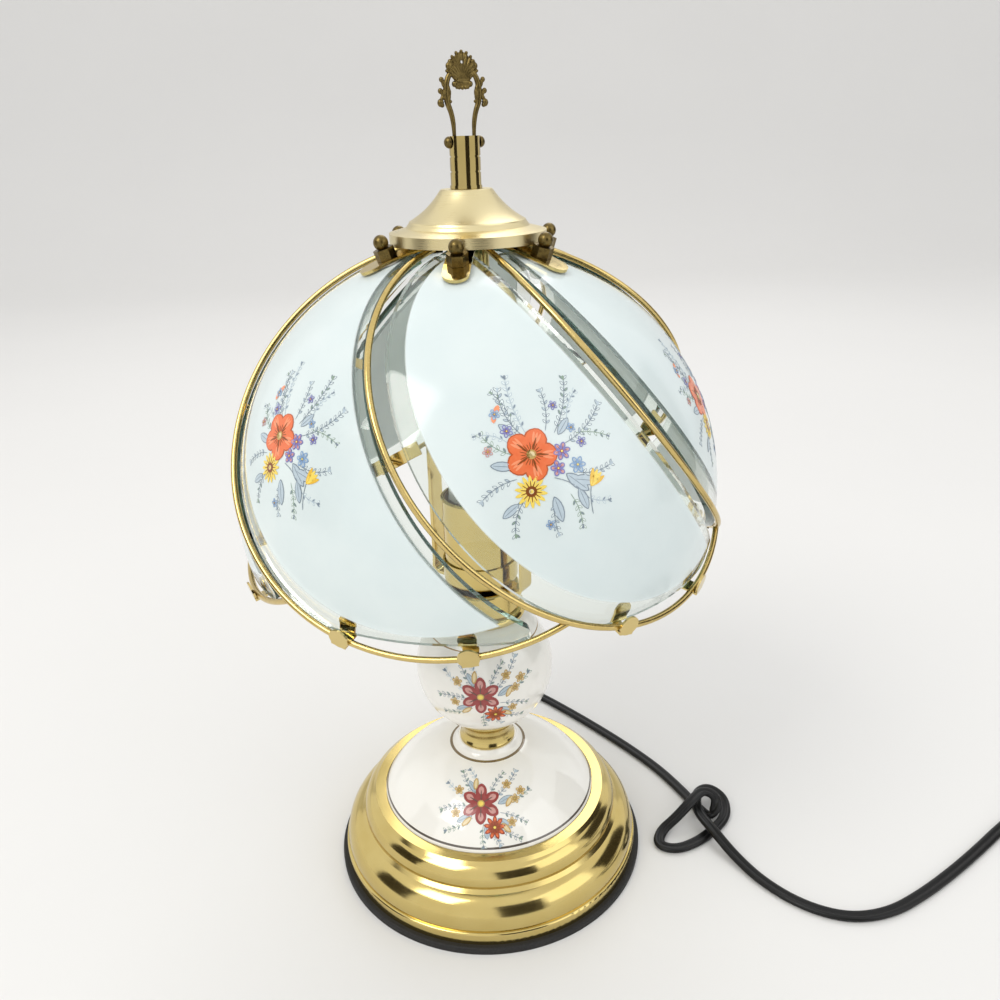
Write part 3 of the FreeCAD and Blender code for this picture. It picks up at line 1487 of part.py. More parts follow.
PLUG_TURN = math.degrees(math.atan2(tail_ahead.y, tail_ahead.x))
PLUG_AT = Placement(COIL_END, Rotation(Vector(0, 0, 1), PLUG_TURN))

plug_body = new_body("plug_body")
tail = new_sketch(plug_body, "YZ_Plane", "plug_tail")
round_hole(tail, 0, 0, S.plug_tail_radius)
pad(plug_body, tail, S.plug_tail)
grip = new_sketch(plug_body, "YZ_Plane", "plug_grip", S.plug_tail)
outline(grip, [
    (-S.plug_width / 2, -S.plug_thickness / 2),
    (S.plug_width / 2, -S.plug_thickness / 2),
    (S.plug_width / 2, S.plug_thickness / 2),
    (-S.plug_width / 2, S.plug_thickness / 2),
])
grip_pad = pad(plug_body, grip, S.plug_length)


def along_plug(edge):
    """True for a straight edge that runs along the plug."""
    return edge.Curve.TypeId == "Part::GeomLine" and abs(edge.Length - S.plug_length.number) < 0.01


rounded(plug_body, grip_pad, S.plug_round, along_plug)
plug_body.Placement = PLUG_AT

blades = [
    Part.makeBox(
        S.blade_length.number + S.blade_seat.number, S.blade_thickness.number, S.blade_width.number,
        Vector(
            (S.plug_tail + S.plug_length).number,
            side * S.blade_spacing.number / 2 - S.blade_thickness.number / 2,
            -S.blade_width.number / 2,
        ),
    )
    for side in (-1, 1)
]
from_shape("plug_blades", Part.makeCompound(blades), PLUG_AT)


# ---------------------------------------------------------------- checks and files

doc.recompute()
for item in doc.Objects:
    if "Invalid" in item.State or "Error" in item.State:
        raise RuntimeError(f"{item.Label} failed: {item.State}")
for item in parts:
    if item.Shape.isNull() or not item.Shape.isValid() or not item.Shape.Solids:
        raise RuntimeError(f"{item.Label} has no valid solid")

os.makedirs("parts", exist_ok=True)
for item in parts:
    item.Shape.exportStep(f"parts/{item.Label}.step")
print(f"{len(parts)} parts written")
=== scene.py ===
import math

import bpy
import bmesh
from mathutils import Matrix, Vector


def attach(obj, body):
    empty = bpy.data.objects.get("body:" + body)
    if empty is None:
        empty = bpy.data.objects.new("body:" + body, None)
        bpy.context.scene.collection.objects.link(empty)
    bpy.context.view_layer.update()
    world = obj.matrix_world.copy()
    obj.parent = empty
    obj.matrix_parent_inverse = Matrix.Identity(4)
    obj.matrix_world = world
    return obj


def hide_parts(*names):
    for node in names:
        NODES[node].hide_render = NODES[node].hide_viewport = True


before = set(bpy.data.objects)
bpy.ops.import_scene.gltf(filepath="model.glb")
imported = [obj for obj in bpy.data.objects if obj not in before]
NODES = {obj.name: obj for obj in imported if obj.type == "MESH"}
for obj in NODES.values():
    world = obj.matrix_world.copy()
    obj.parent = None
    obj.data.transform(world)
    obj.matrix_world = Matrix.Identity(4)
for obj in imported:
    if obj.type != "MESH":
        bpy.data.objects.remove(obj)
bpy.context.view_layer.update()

# Lengths are written in millimetres, and this factor turns them into Blender's metres.
MM = 0.001
PETALS = 6
PETAL_STEP = 360 / PETALS
# Centres of the glass dome and of the porcelain ball, and how far out their surfaces lie.
SHADE_CENTRE = Vector((0, 0, 195)) * MM
GLASS_REACH = 102.1
BALL_CENTRE = Vector((0, 0, 103.95)) * MM
BALL_REACH = 32.4

# ---------------------------------------------------------------- camera


def aim(azimuth, polar):
    """The unit vector at an azimuth from the front and a polar angle from straight up, in degrees."""
    turn, tilt = math.radians(azimuth), math.radians(polar)
    return Vector((math.sin(tilt) * math.sin(turn), -math.sin(tilt) * math.cos(turn), math.cos(tilt)))


def along(u, v, way, reach):
    """The point that lies that far from another one, at an angle in degrees."""
    turn = math.radians(way)
    return u + reach * math.cos(turn), v + reach * math.sin(turn)


# The photograph's viewing angle: turns in radians, and the camera's place in metres.
CAMERA_YAW, CAMERA_PITCH, CAMERA_ROLL = 0.026576, 0.392445, -0.028492
CAMERA_BACK, CAMERA_HEIGHT = 0.3597011, 0.3354963
CAMERA_LENS, CAMERA_SENSOR = 31.68, 36


def place_camera():
    """The camera stands in front of the lamp, near the height of its cap, and looks down on it."""
    level = math.cos(CAMERA_PITCH)
    look = Vector((math.sin(CAMERA_YAW) * level, math.cos(CAMERA_YAW) * level, -math.sin(CAMERA_PITCH)))
    right = Vector((math.cos(CAMERA_YAW), -math.sin(CAMERA_YAW), 0))
    up = right.cross(look)
    side = right * math.cos(CAMERA_ROLL) + up * math.sin(CAMERA_ROLL)
    top = up * math.cos(CAMERA_ROLL) - right * math.sin(CAMERA_ROLL)
    camera = bpy.data.objects.new("camera", bpy.data.cameras.new("camera"))
    camera.data.sensor_width = CAMERA_SENSOR
    camera.data.lens = CAMERA_LENS
    camera.data.clip_start = 0.01
    camera.matrix_world = Matrix((
        (side.x, top.x, -look.x, 0),
        (side.y, top.y, -look.y, -CAMERA_BACK),
        (side.z, top.z, -look.z, CAMERA_HEIGHT),
        (0, 0, 0, 1),
    ))
    bpy.context.scene.collection.objects.link(camera)
    bpy.context.scene.camera = camera


place_camera()

# ---------------------------------------------------------------- material helpers


def colour(code):
    """A linear colour from the six hex digits of a screen colour."""
    values = [int(code[n:n + 2], 16) / 255 for n in (0, 2, 4)]
    return (*[v / 12.92 if v <= 0.04045 else ((v + 0.055) / 1.055) ** 2.4 for v in values], 1)


def add(tree, kind, settings=None, **inputs):
    """Adds a shader node, sets it, and gives its inputs a value or a link. An input i0 is the first one."""
    node = tree.nodes.new("ShaderNode" + kind)
    for key, value in (settings or {}).items():
        setattr(node, key, value)
    for key, value in inputs.items():
        socket = node.inputs[int(key[1:])] if key[1:].isdigit() else node.inputs[key.replace("_", " ")]
        if isinstance(value, bpy.types.NodeSocket):
            tree.links.new(value, socket)
        else:
            socket.default_value = value
    return node


def material(name, **inputs):
    """A new material, its tree, its principled shader and the object coordinates."""
    new = bpy.data.materials.new(name)
    new.use_nodes = True
    tree = new.node_tree
    shader = tree.nodes["Principled BSDF"]
    for key, value in inputs.items():
        shader.inputs[key.replace("_", " ")].default_value = value
    return new, tree, shader, add(tree, "TexCoord").outputs["Object"]


def grain(tree, spot, size, detail=4.0):
    """Noise whose lumps are that many millimetres across."""
    return add(tree, "TexNoise", None, Vector=spot, Scale=1000 / size, Detail=detail).outputs["Fac"]


def between(tree, factor, low, high):
    """A number between two, by a factor that swings round a half."""
    return add(tree, "MapRange", None, Value=factor, From_Min=0.3, From_Max=0.7,
               To_Min=low, To_Max=high).outputs["Result"]


def blend(tree, factor, first, second):
    """The mix of two colours."""
    return add(tree, "Mix", {"data_type": "RGBA"}, i0=factor, i6=first, i7=second).outputs[2]


def bump(tree, shader, height, depth, strength=0.5):
    """Raises the surface by a height pattern, depth in millimetres."""
    relief = add(tree, "Bump", None, Strength=strength, Distance=depth * MM, Height=height)
    tree.links.new(relief.outputs["Normal"], shader.inputs["Normal"])


def combine(tree, first, second, operation="MULTIPLY"):
    """One number out of two, their product unless another operation is named."""
    return add(tree, "Math", {"operation": operation}, i0=first, i1=second).outputs[0]


def mottled(name, dark, light, size, rough_low, rough_high, relief=0.02, **inputs):
    """A plain material whose colour, gloss and surface all vary a little."""
    new, tree, shader, spot = material(name, **inputs)
    lumps = grain(tree, spot, size)
    fine = grain(tree, spot, size / 6)
    tree.links.new(blend(tree, lumps, colour(dark), colour(light)), shader.inputs["Base Color"])
    tree.links.new(between(tree, fine, rough_low, rough_high), shader.inputs["Roughness"])
    bump(tree, shader, fine, relief)
    return new


def radius_and_height(tree, spot):
    """How far a point is from the lamp's axis, and how high it is."""
    parts = add(tree, "SeparateXYZ", None, Vector=spot).outputs
    flat = add(tree, "CombineXYZ", None, X=parts["X"], Y=parts["Y"]).outputs[0]
    out = add(tree, "VectorMath", {"operation": "LENGTH"}, i0=flat).outputs["Value"]
    return out, parts["Z"]


def spun(name, dark, light, size, rough_low, rough_high, relief):
    """Metal turned on a lathe: fine rings round the lamp's axis in its gloss and surface."""
    new, tree, shader, spot = material(name, Metallic=1.0)
    out, height = radius_and_height(tree, spot)
    rings = add(tree, "TexNoise", {"noise_dimensions": "2D"},
                Vector=add(tree, "CombineXYZ", None, X=out, Y=height).outputs[0],
                Scale=1000 / size, Detail=6.0).outputs["Fac"]
    cloud = grain(tree, spot, 18)
    tree.links.new(blend(tree, cloud, colour(dark), colour(light)), shader.inputs["Base Color"])
    mixed = combine(tree, combine(tree, rings, 0.5), combine(tree, cloud, 0.5), "ADD")
    tree.links.new(between(tree, mixed, rough_low, rough_high), shader.inputs["Roughness"])
    bump(tree, shader, rings, relief, 0.3)
    return new


def dress(finish, *names):
    """Gives CAD nodes a material."""
    for name in names:
        for place in NODES[name].material_slots:
            place.link = "OBJECT"
            place.material = finish


# ---------------------------------------------------------------- materials

# Lacquered brass: a pale warm gold mirror, clouded a little by handling.
bright_brass = mottled("polished_brass", "CDB575", "DCC88C", 12, 0.08, 0.16, 0.003, Metallic=1.0)
# Brass rod drawn through a die: narrow bright highlights with a satin break.
rod_brass = mottled("drawn_brass_rod", "C4A964", "DCC585", 3, 0.16, 0.30, 0.01, Metallic=1.0)
# The finial's turned neck: a cleaner mirror, in brass given a darker colour as painted shade, standing in
# for the dark room that the polished neck reflects.
shaded_neck_brass = mottled("turned_brass_painted_shade", "A6925A", "BCA86E", 8, 0.06, 0.12, 0.002, Metallic=1.0)
# Spun brass sheet: rings in the gloss that catch the light round the foot.
spun_brass = spun("spun_brass", "C6AE68", "D8C484", 0.5, 0.09, 0.19, 0.008)
# Satin gilt on the cap: soft broad highlights.
satin_gilt = spun("satin_gilt", "DCCB98", "E8DBB0", 0.35, 0.24, 0.38, 0.01)
# Antique brass: brown oxide in the hollows, rubbed gold on the high places.
antique_brass = mottled("antique_brass", "453A24", "8C7846", 1.6, 0.22, 0.42, 0.03, Metallic=1.0)
# Vulcanised rubber: dull black with a dusty bloom.
pad_rubber = mottled("foot_rubber", "151515", "242322", 4, 0.6, 0.82, 0.05)
# Harder rubber of the lead's bushing: blacker and smoother than the pad.
bush_rubber = mottled("bushing_rubber", "101010", "1D1D1C", 2, 0.45, 0.6, 0.02)
# Zinc plate: cool grey with a faint spangle.
zinc_steel = mottled("zinc_plated_steel", "9C9C98", "C6C5BE", 5, 0.28, 0.5, 0.01, Metallic=1.0)
# Cast iron ballast: dark, sandy and rough.
cast_iron = mottled("cast_iron", "262626", "474542", 3, 0.6, 0.9, 0.15, Metallic=0.6)
# Moulded phenolic: black with a soft sheen.
black_plastic = mottled("black_moulding", "121212", "1C1C1C", 3, 0.32, 0.48, 0.02)
# Vinyl sheath: black, satin, with the faint drag of the die.
cord_vinyl = mottled("vinyl_sheath", "060606", "0E0E0E", 2.5, 0.3, 0.45, 0.02, Specular_IOR_Level=0.35)
# Grey rubber of the washers in the glass.
grey_rubber = mottled("washer_rubber", "A5A29A", "C4C1B8", 1.5, 0.5, 0.7, 0.02)
# Vulcanised fibre: brown card with long grain.
card_liner = mottled("fibre_card", "A3835A", "C4A271", 2, 0.7, 0.9, 0.04)
# Unglazed ceramic inside the holder.
holder_ceramic = mottled("holder_ceramic", "DCD7CA", "EFEBE0", 3, 0.5, 0.7, 0.02)
# Bright aluminium of the screw shells.
shell_aluminium = mottled("screw_aluminium", "BEBCB6", "DAD8D3", 2, 0.22, 0.36, 0.02, Metallic=1.0)
# Frosted bulb: milky and soft.
bulb_frost = mottled("frosted_bulb", "ECE9E0", "F8F6F0", 12, 0.42, 0.55, 0.02,
                     Transmission_Weight=0.25, Subsurface_Weight=0.1)


def porcelain(name, rings):
    """White glaze with painted rings, each a height, a half width and a colour, all in millimetres."""
    new, tree, shader, spot = material(name, Roughness=0.08, Coat_Weight=0.6, Coat_Roughness=0.04)
    out, height = radius_and_height(tree, spot)
    paint = blend(tree, grain(tree, spot, 25), colour("ECE9E1"), colour("F7F5EF"))
    for level, half, ink in rings:
        mask = add(tree, "Math", {"operation": "COMPARE"}, i0=height, i1=level * MM, i2=half * MM).outputs[0]
        paint = blend(tree, mask, paint, colour(ink))
    tree.links.new(paint, shader.inputs["Base Color"])
    bump(tree, shader, grain(tree, spot, 6, 1.0), 0.03, 0.25)
    return new


# Glazed porcelain: cool white under a wet shine, with the painter's gilt lines.
dome_glaze = porcelain("porcelain_dome", [(36.75, 0.4, "5E5650"), (58.75, 0.17, "7C6A4C")])
ball_glaze = porcelain("porcelain_ball", [(124.0, 0.22, "9C7C4A")])


# The print stops at a circle on the dome round its petal's axis, and again at a circle round the next
# one's: the axis's azimuth, then for both circles the polar angle and the rim's two radii, in degrees.
PETAL_AZIMUTH = 46.1
OWN_CIRCLE = (52.3, 47.4, 47.8)
NEXT_CIRCLE = (53.6, 59.0, 59.6)


def print_field(tree, ray, number, polar, low, high):
    """One inside a circle on the glass round a petal's axis, zero outside, with a narrow soft rim."""
    axis = aim(PETAL_AZIMUTH + PETAL_STEP * number, polar)
    close = add(tree, "VectorMath", {"operation": "DOT_PRODUCT"}, i0=ray, i1=axis).outputs["Value"]
    return add(tree, "MapRange", {"interpolation_type": "SMOOTHSTEP"}, Value=close,
               From_Min=math.cos(math.radians(high)), From_Max=math.cos(math.radians(low)),
               To_Min=0.0, To_Max=1.0).outputs["Result"]


def petal_glass(number):
    """Clear glass at the rim of a petal, a pale fired print inside it, green at the ground edges."""
    new, tree, shader, spot = material(f"petal_glass_{number + 1}", IOR=1.5)
    from_centre = add(tree, "VectorMath", {"operation": "SUBTRACT"}, i0=spot, i1=SHADE_CENTRE).outputs[0]
    ray = add(tree, "VectorMath", {"operation": "NORMALIZE"}, i0=from_centre).outputs[0]
    inside = print_field(tree, ray, number, *OWN_CIRCLE)
    beyond = print_field(tree, ray, number + 1, *NEXT_CIRCLE)
    printed = combine(tree, inside, combine(tree, 1.0, beyond, "SUBTRACT"))
    facing = add(tree, "VectorMath", {"operation": "DOT_PRODUCT"}, i0=ray,
                 i1=add(tree, "TexCoord").outputs["Normal"]).outputs["Value"]
    edge = add(tree, "Math", {"operation": "COMPARE"}, i0=facing, i1=0.0, i2=0.5).outputs[0]
    frost = grain(tree, spot, 20)
    ink = blend(tree, frost, colour("D6E3E4"), colour("E5EEED"))
    clear = blend(tree, edge, colour("F1F7F3"), colour("8FB8A6"))
    tree.links.new(blend(tree, printed, clear, ink), shader.inputs["Base Color"])
    clearness = combine(tree, 1.0, combine(tree, printed, 0.92), "SUBTRACT")
    tree.links.new(clearness, shader.inputs["Transmission Weight"])
    tree.links.new(add(tree, "MapRange", None, Value=printed, To_Min=0.02, To_Max=0.16).outputs["Result"],
                   shader.inputs["Roughness"])
    bump(tree, shader, grain(tree, spot, 14, 1.0), 0.05, 0.15)
    return new


# ---------------------------------------------------------------- dressing the frame

dress(spun_brass, "base_shell", "neck_ring", "ball_cup", "seat_collar", "socket_cap", "socket_shell")
dress(bright_brass, "harp", "harp_stud", "shade_hub", "glass_rests", "glass_clips", "petal_screws",
      "plug_blades")
dress(satin_gilt, "shade_cap")
dress(antique_brass, "ball_nuts", "finial_handle", "handle_pins")
# The neck's darker brass is painted shade.
dress(shaded_neck_brass, "finial_neck")
dress(pad_rubber, "base_pad")
dress(bush_rubber, "cord_bushing")
dress(zinc_steel, "bottom_plate", "centre_rod", "rod_nut", "rod_washer")
dress(cast_iron, "base_weight")
dress(black_plastic, "touch_module", "plug_body")
dress(cord_vinyl, "cord", "cord_coil", "cord_inner", "socket_lead")
dress(grey_rubber, "petal_grommets")
dress(card_liner, "socket_liner")
dress(holder_ceramic, "socket_core")
dress(shell_aluminium, "screw_shell", "bulb_base")
dress(bulb_frost, "bulb_glass")
dress(dome_glaze, "porcelain_dome")
dress(ball_glaze, "porcelain_ball")
for number in range(PETALS):
    dress(petal_glass(number), f"petal_{number + 1}")
    dress(rod_brass, f"rib_{number + 1}")
    dress(bright_brass, f"strap_{number + 1}")

# ---------------------------------------------------------------- cord

# The lead leaves the base at the back, comes round its right side, is tied once and runs off to a coil.
LEAD_ROUTE = [
    (-6.0, 97.86, 8.3), (-6.0, 104.5, 8.2), (-5.5, 112.0, 6.2), (-1.0, 120.5, 2.4), (13.0, 127.0, 2.2),
    (31.0, 119.0, 2.2), (48.0, 101.0, 2.2), (65.0, 81.5, 2.2), (81.5, 61.0, 2.2), (96.0, 40.0, 2.2),
    (105.0, 21.5, 2.2), (109.8, 9.5, 2.2), (115.5, -1.5, 2.3), (120.5, 4.5, 10.2), (113.0, 9.0, 12.8),
    (105.0, 1.5, 11.8), (96.0, -4.6, 6.8), (87.5, -8.5, 2.8), (84.0, -17.5, 2.2), (92.5, -21.2, 2.2),
    (104.0, -17.0, 2.2), (115.0, -9.0, 2.2), (124.0, 0.5, 2.3), (125.5, 12.0, 4.6), (117.5, 17.5, 7.4),
    (109.5, 11.0, 7.3), (108.0, -1.5, 7.2), (112.5, -14.5, 7.3), (120.0, -28.0, 3.2), (129.0, -44.0, 2.2),
    (143.0, -59.0, 2.2), (161.0, -67.5, 2.2), (181.0, -66.0, 2.2), (201.0, -56.5, 2.2), (222.0, -44.0, 2.2),
    (243.0, -30.0, 2.2), (264.0, -15.0, 2.2), (286.0, -2.0, 2.2),
]
LEAD_WIDTH, LEAD_THICKNESS = 5.6, 2.8
# Height of the round tube's middle on the table, and the rise above it at which it counts as lifted.
TUBE_REST, TUBE_LIFT = 2.2, 4.8
# How far the flat lead is let down below the tube, and how much of that it gets back where it is lifted.
LET_DOWN, GIVEN_BACK = 0.75, 0.45
COIL_RADIUS, COIL_PITCH, COIL_TURNS, COIL_TAIL, PLUG_HEIGHT = 38.5, 5.8, 3, 24.0, 6.9
# The straight run into the coil, the heights of its lower layer and of the climb to the upper one.
COIL_RUN_IN, COIL_REST, COIL_CLIMB = 4.1, 1.45, 3.3
COIL_STEPS = 16


def lying(point):
    """A point of the round tube's route, let down until the flat lead lies on the table."""
    x, y, z = point
    share = min(max((z - TUBE_REST) / TUBE_LIFT, 0), 1)
    return Vector((x, y, z - LET_DOWN + GIVEN_BACK * share))


def coil_turns():
    """Points on the coil, sixteen to a turn: wound in, up one layer, and out again, then to the plug."""
    start, before = Vector(LEAD_ROUTE[-1]), Vector(LEAD_ROUTE[-2])
    ahead = (start - before).normalized()
    first = start + ahead * COIL_RUN_IN
    hub = first + ahead.cross(Vector((0, 0, 1))) * COIL_RADIUS
    begin = math.atan2(first.y - hub.y, first.x - hub.x)
    turns_in = COIL_TURNS * 2 * math.pi
    total = 2 * turns_in + math.pi
    step = math.radians(360 / COIL_STEPS)
    count = round(total / step)
    # The smooth line reaches only this share of its control points' distance from the hub.
    reach = 0.75 + 0.25 * math.cos(step)
    points = []
    for number in range(count + 1):
        swing = total * number / count
        wound = min(swing, turns_in) - max(swing - turns_in - math.pi, 0)
        climb = min(max((swing - turns_in) / math.pi, 0), 1)
        radius = (COIL_RADIUS - COIL_PITCH * wound / (2 * math.pi)) / reach
        height = COIL_REST + COIL_CLIMB * climb * climb * (3 - 2 * climb)
        angle = begin - swing
        points.append(Vector((hub.x + radius * math.cos(angle), hub.y + radius * math.sin(angle), height)))
    angle = begin - total
    onward = Vector((math.sin(angle), -math.cos(angle), 0))
    last = points[-1]
    for share, height in ((0.3, 4.9), (0.7, PLUG_HEIGHT), (1.0, PLUG_HEIGHT)):
        points.append(Vector((last.x, last.y, height)) + onward * COIL_TAIL * share)
    return points


def lead_profile():
    """Two round cores side by side with a groove between them."""
    core = LEAD_THICKNESS / 2
    outline = bpy.data.curves.new("lead_profile", "CURVE")
    outline.dimensions = "3D"
    points = []
    for side in (1, -1):
        for number in range(11):
            angle = math.radians(-145 + 29 * number)
            points.append((side * (core + core * math.cos(angle)), side * core * math.sin(angle)))
    spline = outline.splines.new("POLY")
    spline.points.add(len(points) - 1)
    for place, (x, y) in zip(spline.points, points):
        place.co = (x * MM, y * MM, 0, 1)
    spline.use_cyclic_u = True
    profile = bpy.data.objects.new("lead_profile", outline)
    bpy.context.scene.collection.objects.link(profile)
    profile.hide_render = True
    return profile


def lay_lead():
    """The whole lead as one smooth curve, from the bushing in the base to the plug."""
    curve = bpy.data.curves.new("lamp_cord", "CURVE")
    curve.dimensions = "3D"
    points = [lying(point) for point in LEAD_ROUTE[3:]] + coil_turns()
    points = [Vector(point) for point in LEAD_ROUTE[:3]] + points
    spline = curve.splines.new("NURBS")
    spline.points.add(len(points) - 1)
    for place, point in zip(spline.points, points):
        place.co = (*(point * MM), 1)
    spline.order_u = 3
    spline.use_endpoint_u = True
    curve.resolution_u = 6
    curve.twist_mode = "Z_UP"
    curve.bevel_mode = "OBJECT"
    curve.bevel_object = lead_profile()
    curve.use_fill_caps = True
    lead = bpy.data.objects.new("lamp_cord", curve)
    bpy.context.scene.collection.objects.link(lead)
    curve.materials.append(cord_vinyl)
    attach(lead, "stand")
    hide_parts("cord", "cord_coil")


lay_lead()

# ---------------------------------------------------------------- cast handle

# Height of the pins that the handle rocks on. The shell's foot and its eye are given from there. The
# handle is turned by some degrees about the lamp's axis, and its lumps are fused at a fine grain.
PIVOT = 333.6
SHELL_FOOT, EYE_HEIGHT, EYE_RADIUS = 20.9, 27.2, 0.62
HANDLE_TURN = 20
CASTING_GRAIN = 0.16


def lump(x, z, length, width, thick, lean=0.0):
    """One modelled lump of the casting: an egg shape in the handle's plane, leaning by degrees."""
    bpy.ops.mesh.primitive_uv_sphere_add(
        segments=16, ring_count=10, radius=0.5 * MM, location=(x * MM, 0, (PIVOT + z) * MM),
        rotation=(0, math.radians(-lean), 0), scale=(length, thick, width))
    return bpy.context.object


def leg(side):
    """A round tapered leg that rises from its pin and curls out under the crest."""
    line = bpy.data.curves.new("leg", "CURVE")
    line.dimensions = "3D"
    line.bevel_depth = MM
    line.bevel_resolution = 4
    line.use_fill_caps = True
    path = ((3.95, -1.3, 0.72), (3.95, 3.0, 0.72), (4.15, 7.0, 0.95), (4.9, 10.6, 1.0), (6.2, 13.6, 1.1),
            (6.6, 17.0, 1.15), (6.2, 20.5, 1.1), (5.0, 23.2, 1.0), (3.2, 24.6, 0.9))
    spline = line.splines.new("NURBS")
    spline.points.add(len(path) - 1)
    for place, (x, z, thick) in zip(spline.points, path):
        place.co = (side * x * MM, 0, (PIVOT + z) * MM, 1)
        place.radius = thick
    spline.order_u = 3
    spline.use_endpoint_u = True
    piece = bpy.data.objects.new("leg", line)
    bpy.context.scene.collection.objects.link(piece)
    bpy.ops.object.select_all(action="DESELECT")
    piece.select_set(True)
    bpy.context.view_layer.objects.active = piece
    bpy.ops.object.convert(target="MESH")
    return bpy.context.object


def cast_handle():
    """The finial's handle: two legs, scrolls with curled leaves, and a shell crest with an eye."""
    parts = []
    for side in (1, -1):
        parts.append(leg(side))
        parts.append(lump(side * 3.95, 0, 1.5, 2.6, 2.4))
        for x, z, length, width, thick, lean in (
            (8.8, 13.6, 2.5, 2.9, 2.4, 0), (8.2, 12.8, 1.7, 1.7, 2.0, 0), (8.0, 15.4, 3.2, 1.4, 1.8, 120),
            (8.7, 17.6, 1.9, 2.1, 2.0, 0), (7.7, 16.5, 3.2, 1.6, 1.9, 60), (8.1, 21.4, 1.8, 2.0, 2.0, 0),
            (7.4, 20.0, 3.0, 1.5, 1.8, 75), (5.5, 15.2, 3.2, 1.5, 2.0, 105), (5.3, 16.8, 3.4, 1.5, 2.1, 95),
            (5.6, 18.4, 3.0, 1.5, 2.0, 80), (5.0, 14.0, 1.5, 1.3, 1.6, 0), (5.0, 25.9, 2.5, 2.7, 2.2, 0),
            (4.4, 27.3, 1.9, 1.9, 2.0, 0), (3.7, 23.0, 4.0, 1.3, 2.0, 30), (3.0, 22.0, 4.4, 1.3, 2.2, 45),
            (3.1, 19.9, 2.0, 2.2, 2.3, 0), (2.1, 18.9, 1.4, 1.6, 2.0, 0),
        ):
            parts.append(lump(side * x, z, length, width, thick, lean if side > 0 else 180 - lean))
    for x in (-1.2, 0, 1.2):
        parts.append(lump(x, 18.7 + abs(x) * 0.1, 1.4, 1.7, 2.0))
    parts.append(lump(0, 20.4, 6.6, 2.4, 2.0))
    parts.append(lump(0, 24.6, 9.4, 9.6, 1.5))
    parts.append(lump(0, 27.4, 6.6, 6.4, 1.5))
    for number in range(11):
        lean = 30 + 12 * number
        start, reach = 1.0, 6.9 + 3.3 * math.sin(math.radians(lean)) ** 4
        flute = along(0, SHELL_FOOT, lean, (start + reach) / 2)
        bead = along(0, SHELL_FOOT, lean, reach - 0.5)
        parts.append(lump(*flute, reach - start, 1.5, 2.3, lean))
        parts.append(lump(*bead, 1.5, 1.2, 2.1, lean))
    bpy.ops.object.select_all(action="DESELECT")
    for piece in parts:
        piece.select_set(True)
    bpy.context.view_layer.objects.active = parts[0]
    bpy.ops.object.join()
    handle = bpy.context.object
    bpy.ops.object.transform_apply(location=True, rotation=True, scale=True)
    handle.name = "cast_handle"
    fuse = handle.modifiers.new("fuse", "REMESH")
    fuse.mode = "VOXEL"
    fuse.voxel_size = CASTING_GRAIN * MM
    bpy.ops.object.modifier_apply(modifier="fuse")
    bpy.ops.mesh.primitive_cylinder_add(vertices=24, radius=EYE_RADIUS * MM, depth=10 * MM,
                                        location=(0, 0, (PIVOT + EYE_HEIGHT) * MM),
                                        rotation=(math.pi / 2, 0, 0))
    drill = bpy.context.object
    eye = handle.modifiers.new("eye", "BOOLEAN")
    eye.object = drill
    eye.operation = "DIFFERENCE"
    bpy.ops.object.select_all(action="DESELECT")
    handle.select_set(True)
    bpy.context.view_layer.objects.active = handle
    bpy.ops.object.modifier_apply(modifier="eye")
    bpy.data.objects.remove(drill)
    soften = handle.modifiers.new("soften", "SMOOTH")
    soften.factor = 0.5
    soften.iterations = 2
    bpy.ops.object.modifier_apply(modifier="soften")
    bpy.ops.object.shade_smooth()
    handle.data.transform(Matrix.Rotation(math.radians(HANDLE_TURN), 4, "Z"))
    handle.data.materials.clear()
    handle.data.materials.append(antique_brass)
    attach(handle, "handle")
    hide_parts("finial_handle")


cast_handle()

# ---------------------------------------------------------------- painted flowers

# The ceramic inks, each in a darker and a lighter tone.
INKS = {
    "flame": ("E2683C", "EA8050"), "peach": ("EE8E62", "F2A078"), "gold": ("DDA52C", "F1CC55"),
    "heart": ("6E3A18", "93572A"), "violet": ("6A6AA8", "8E8CC6"), "blue": ("6E90BC", "9AB6D4"),
    "slate": ("75828E", "8E9BA6"), "leaf": ("7E9484", "9DB0A0"), "mist": ("A9B9C4", "C2D0D8"),
    "lemon": ("EBCB4A", "F5E07C"), "rust": ("B0532C", "C8683C"),
    "print": ("DCE7E7", "E4EDEC"), "china": ("EDEBE5", "F4F2EC"), "ochre": ("B8924E", "CFAE6E"),
    "cream": ("DCC694", "E9DAB4"), "maroon": ("8C3838", "A85450"),
    "rose": ("C08480", "D8AAA0"), "russet": ("8E3A22", "B0563A"), "line": ("5B4A44", "6E5C54"),
}


def fired_ink(name):
    """Ceramic ink fired on: even colour, glossy, a trace thicker where the brush paused."""
    return mottled(f"fired_{name}", INKS[name][0], INKS[name][1], 1.5, 0.12, 0.24, 0.01)


FIRED = {name: fired_ink(name) for name in INKS}
# A brush mark's corners, the height of one layer of ink on the next, the lowest layer's lift off the
# surface, the ink's own thickness, and how far outside the piece a mark starts when it is laid on.
MARK_CORNERS = 16
LAYER, LIFT, SKIN, START = 0.03, 0.1, 0.06, 30


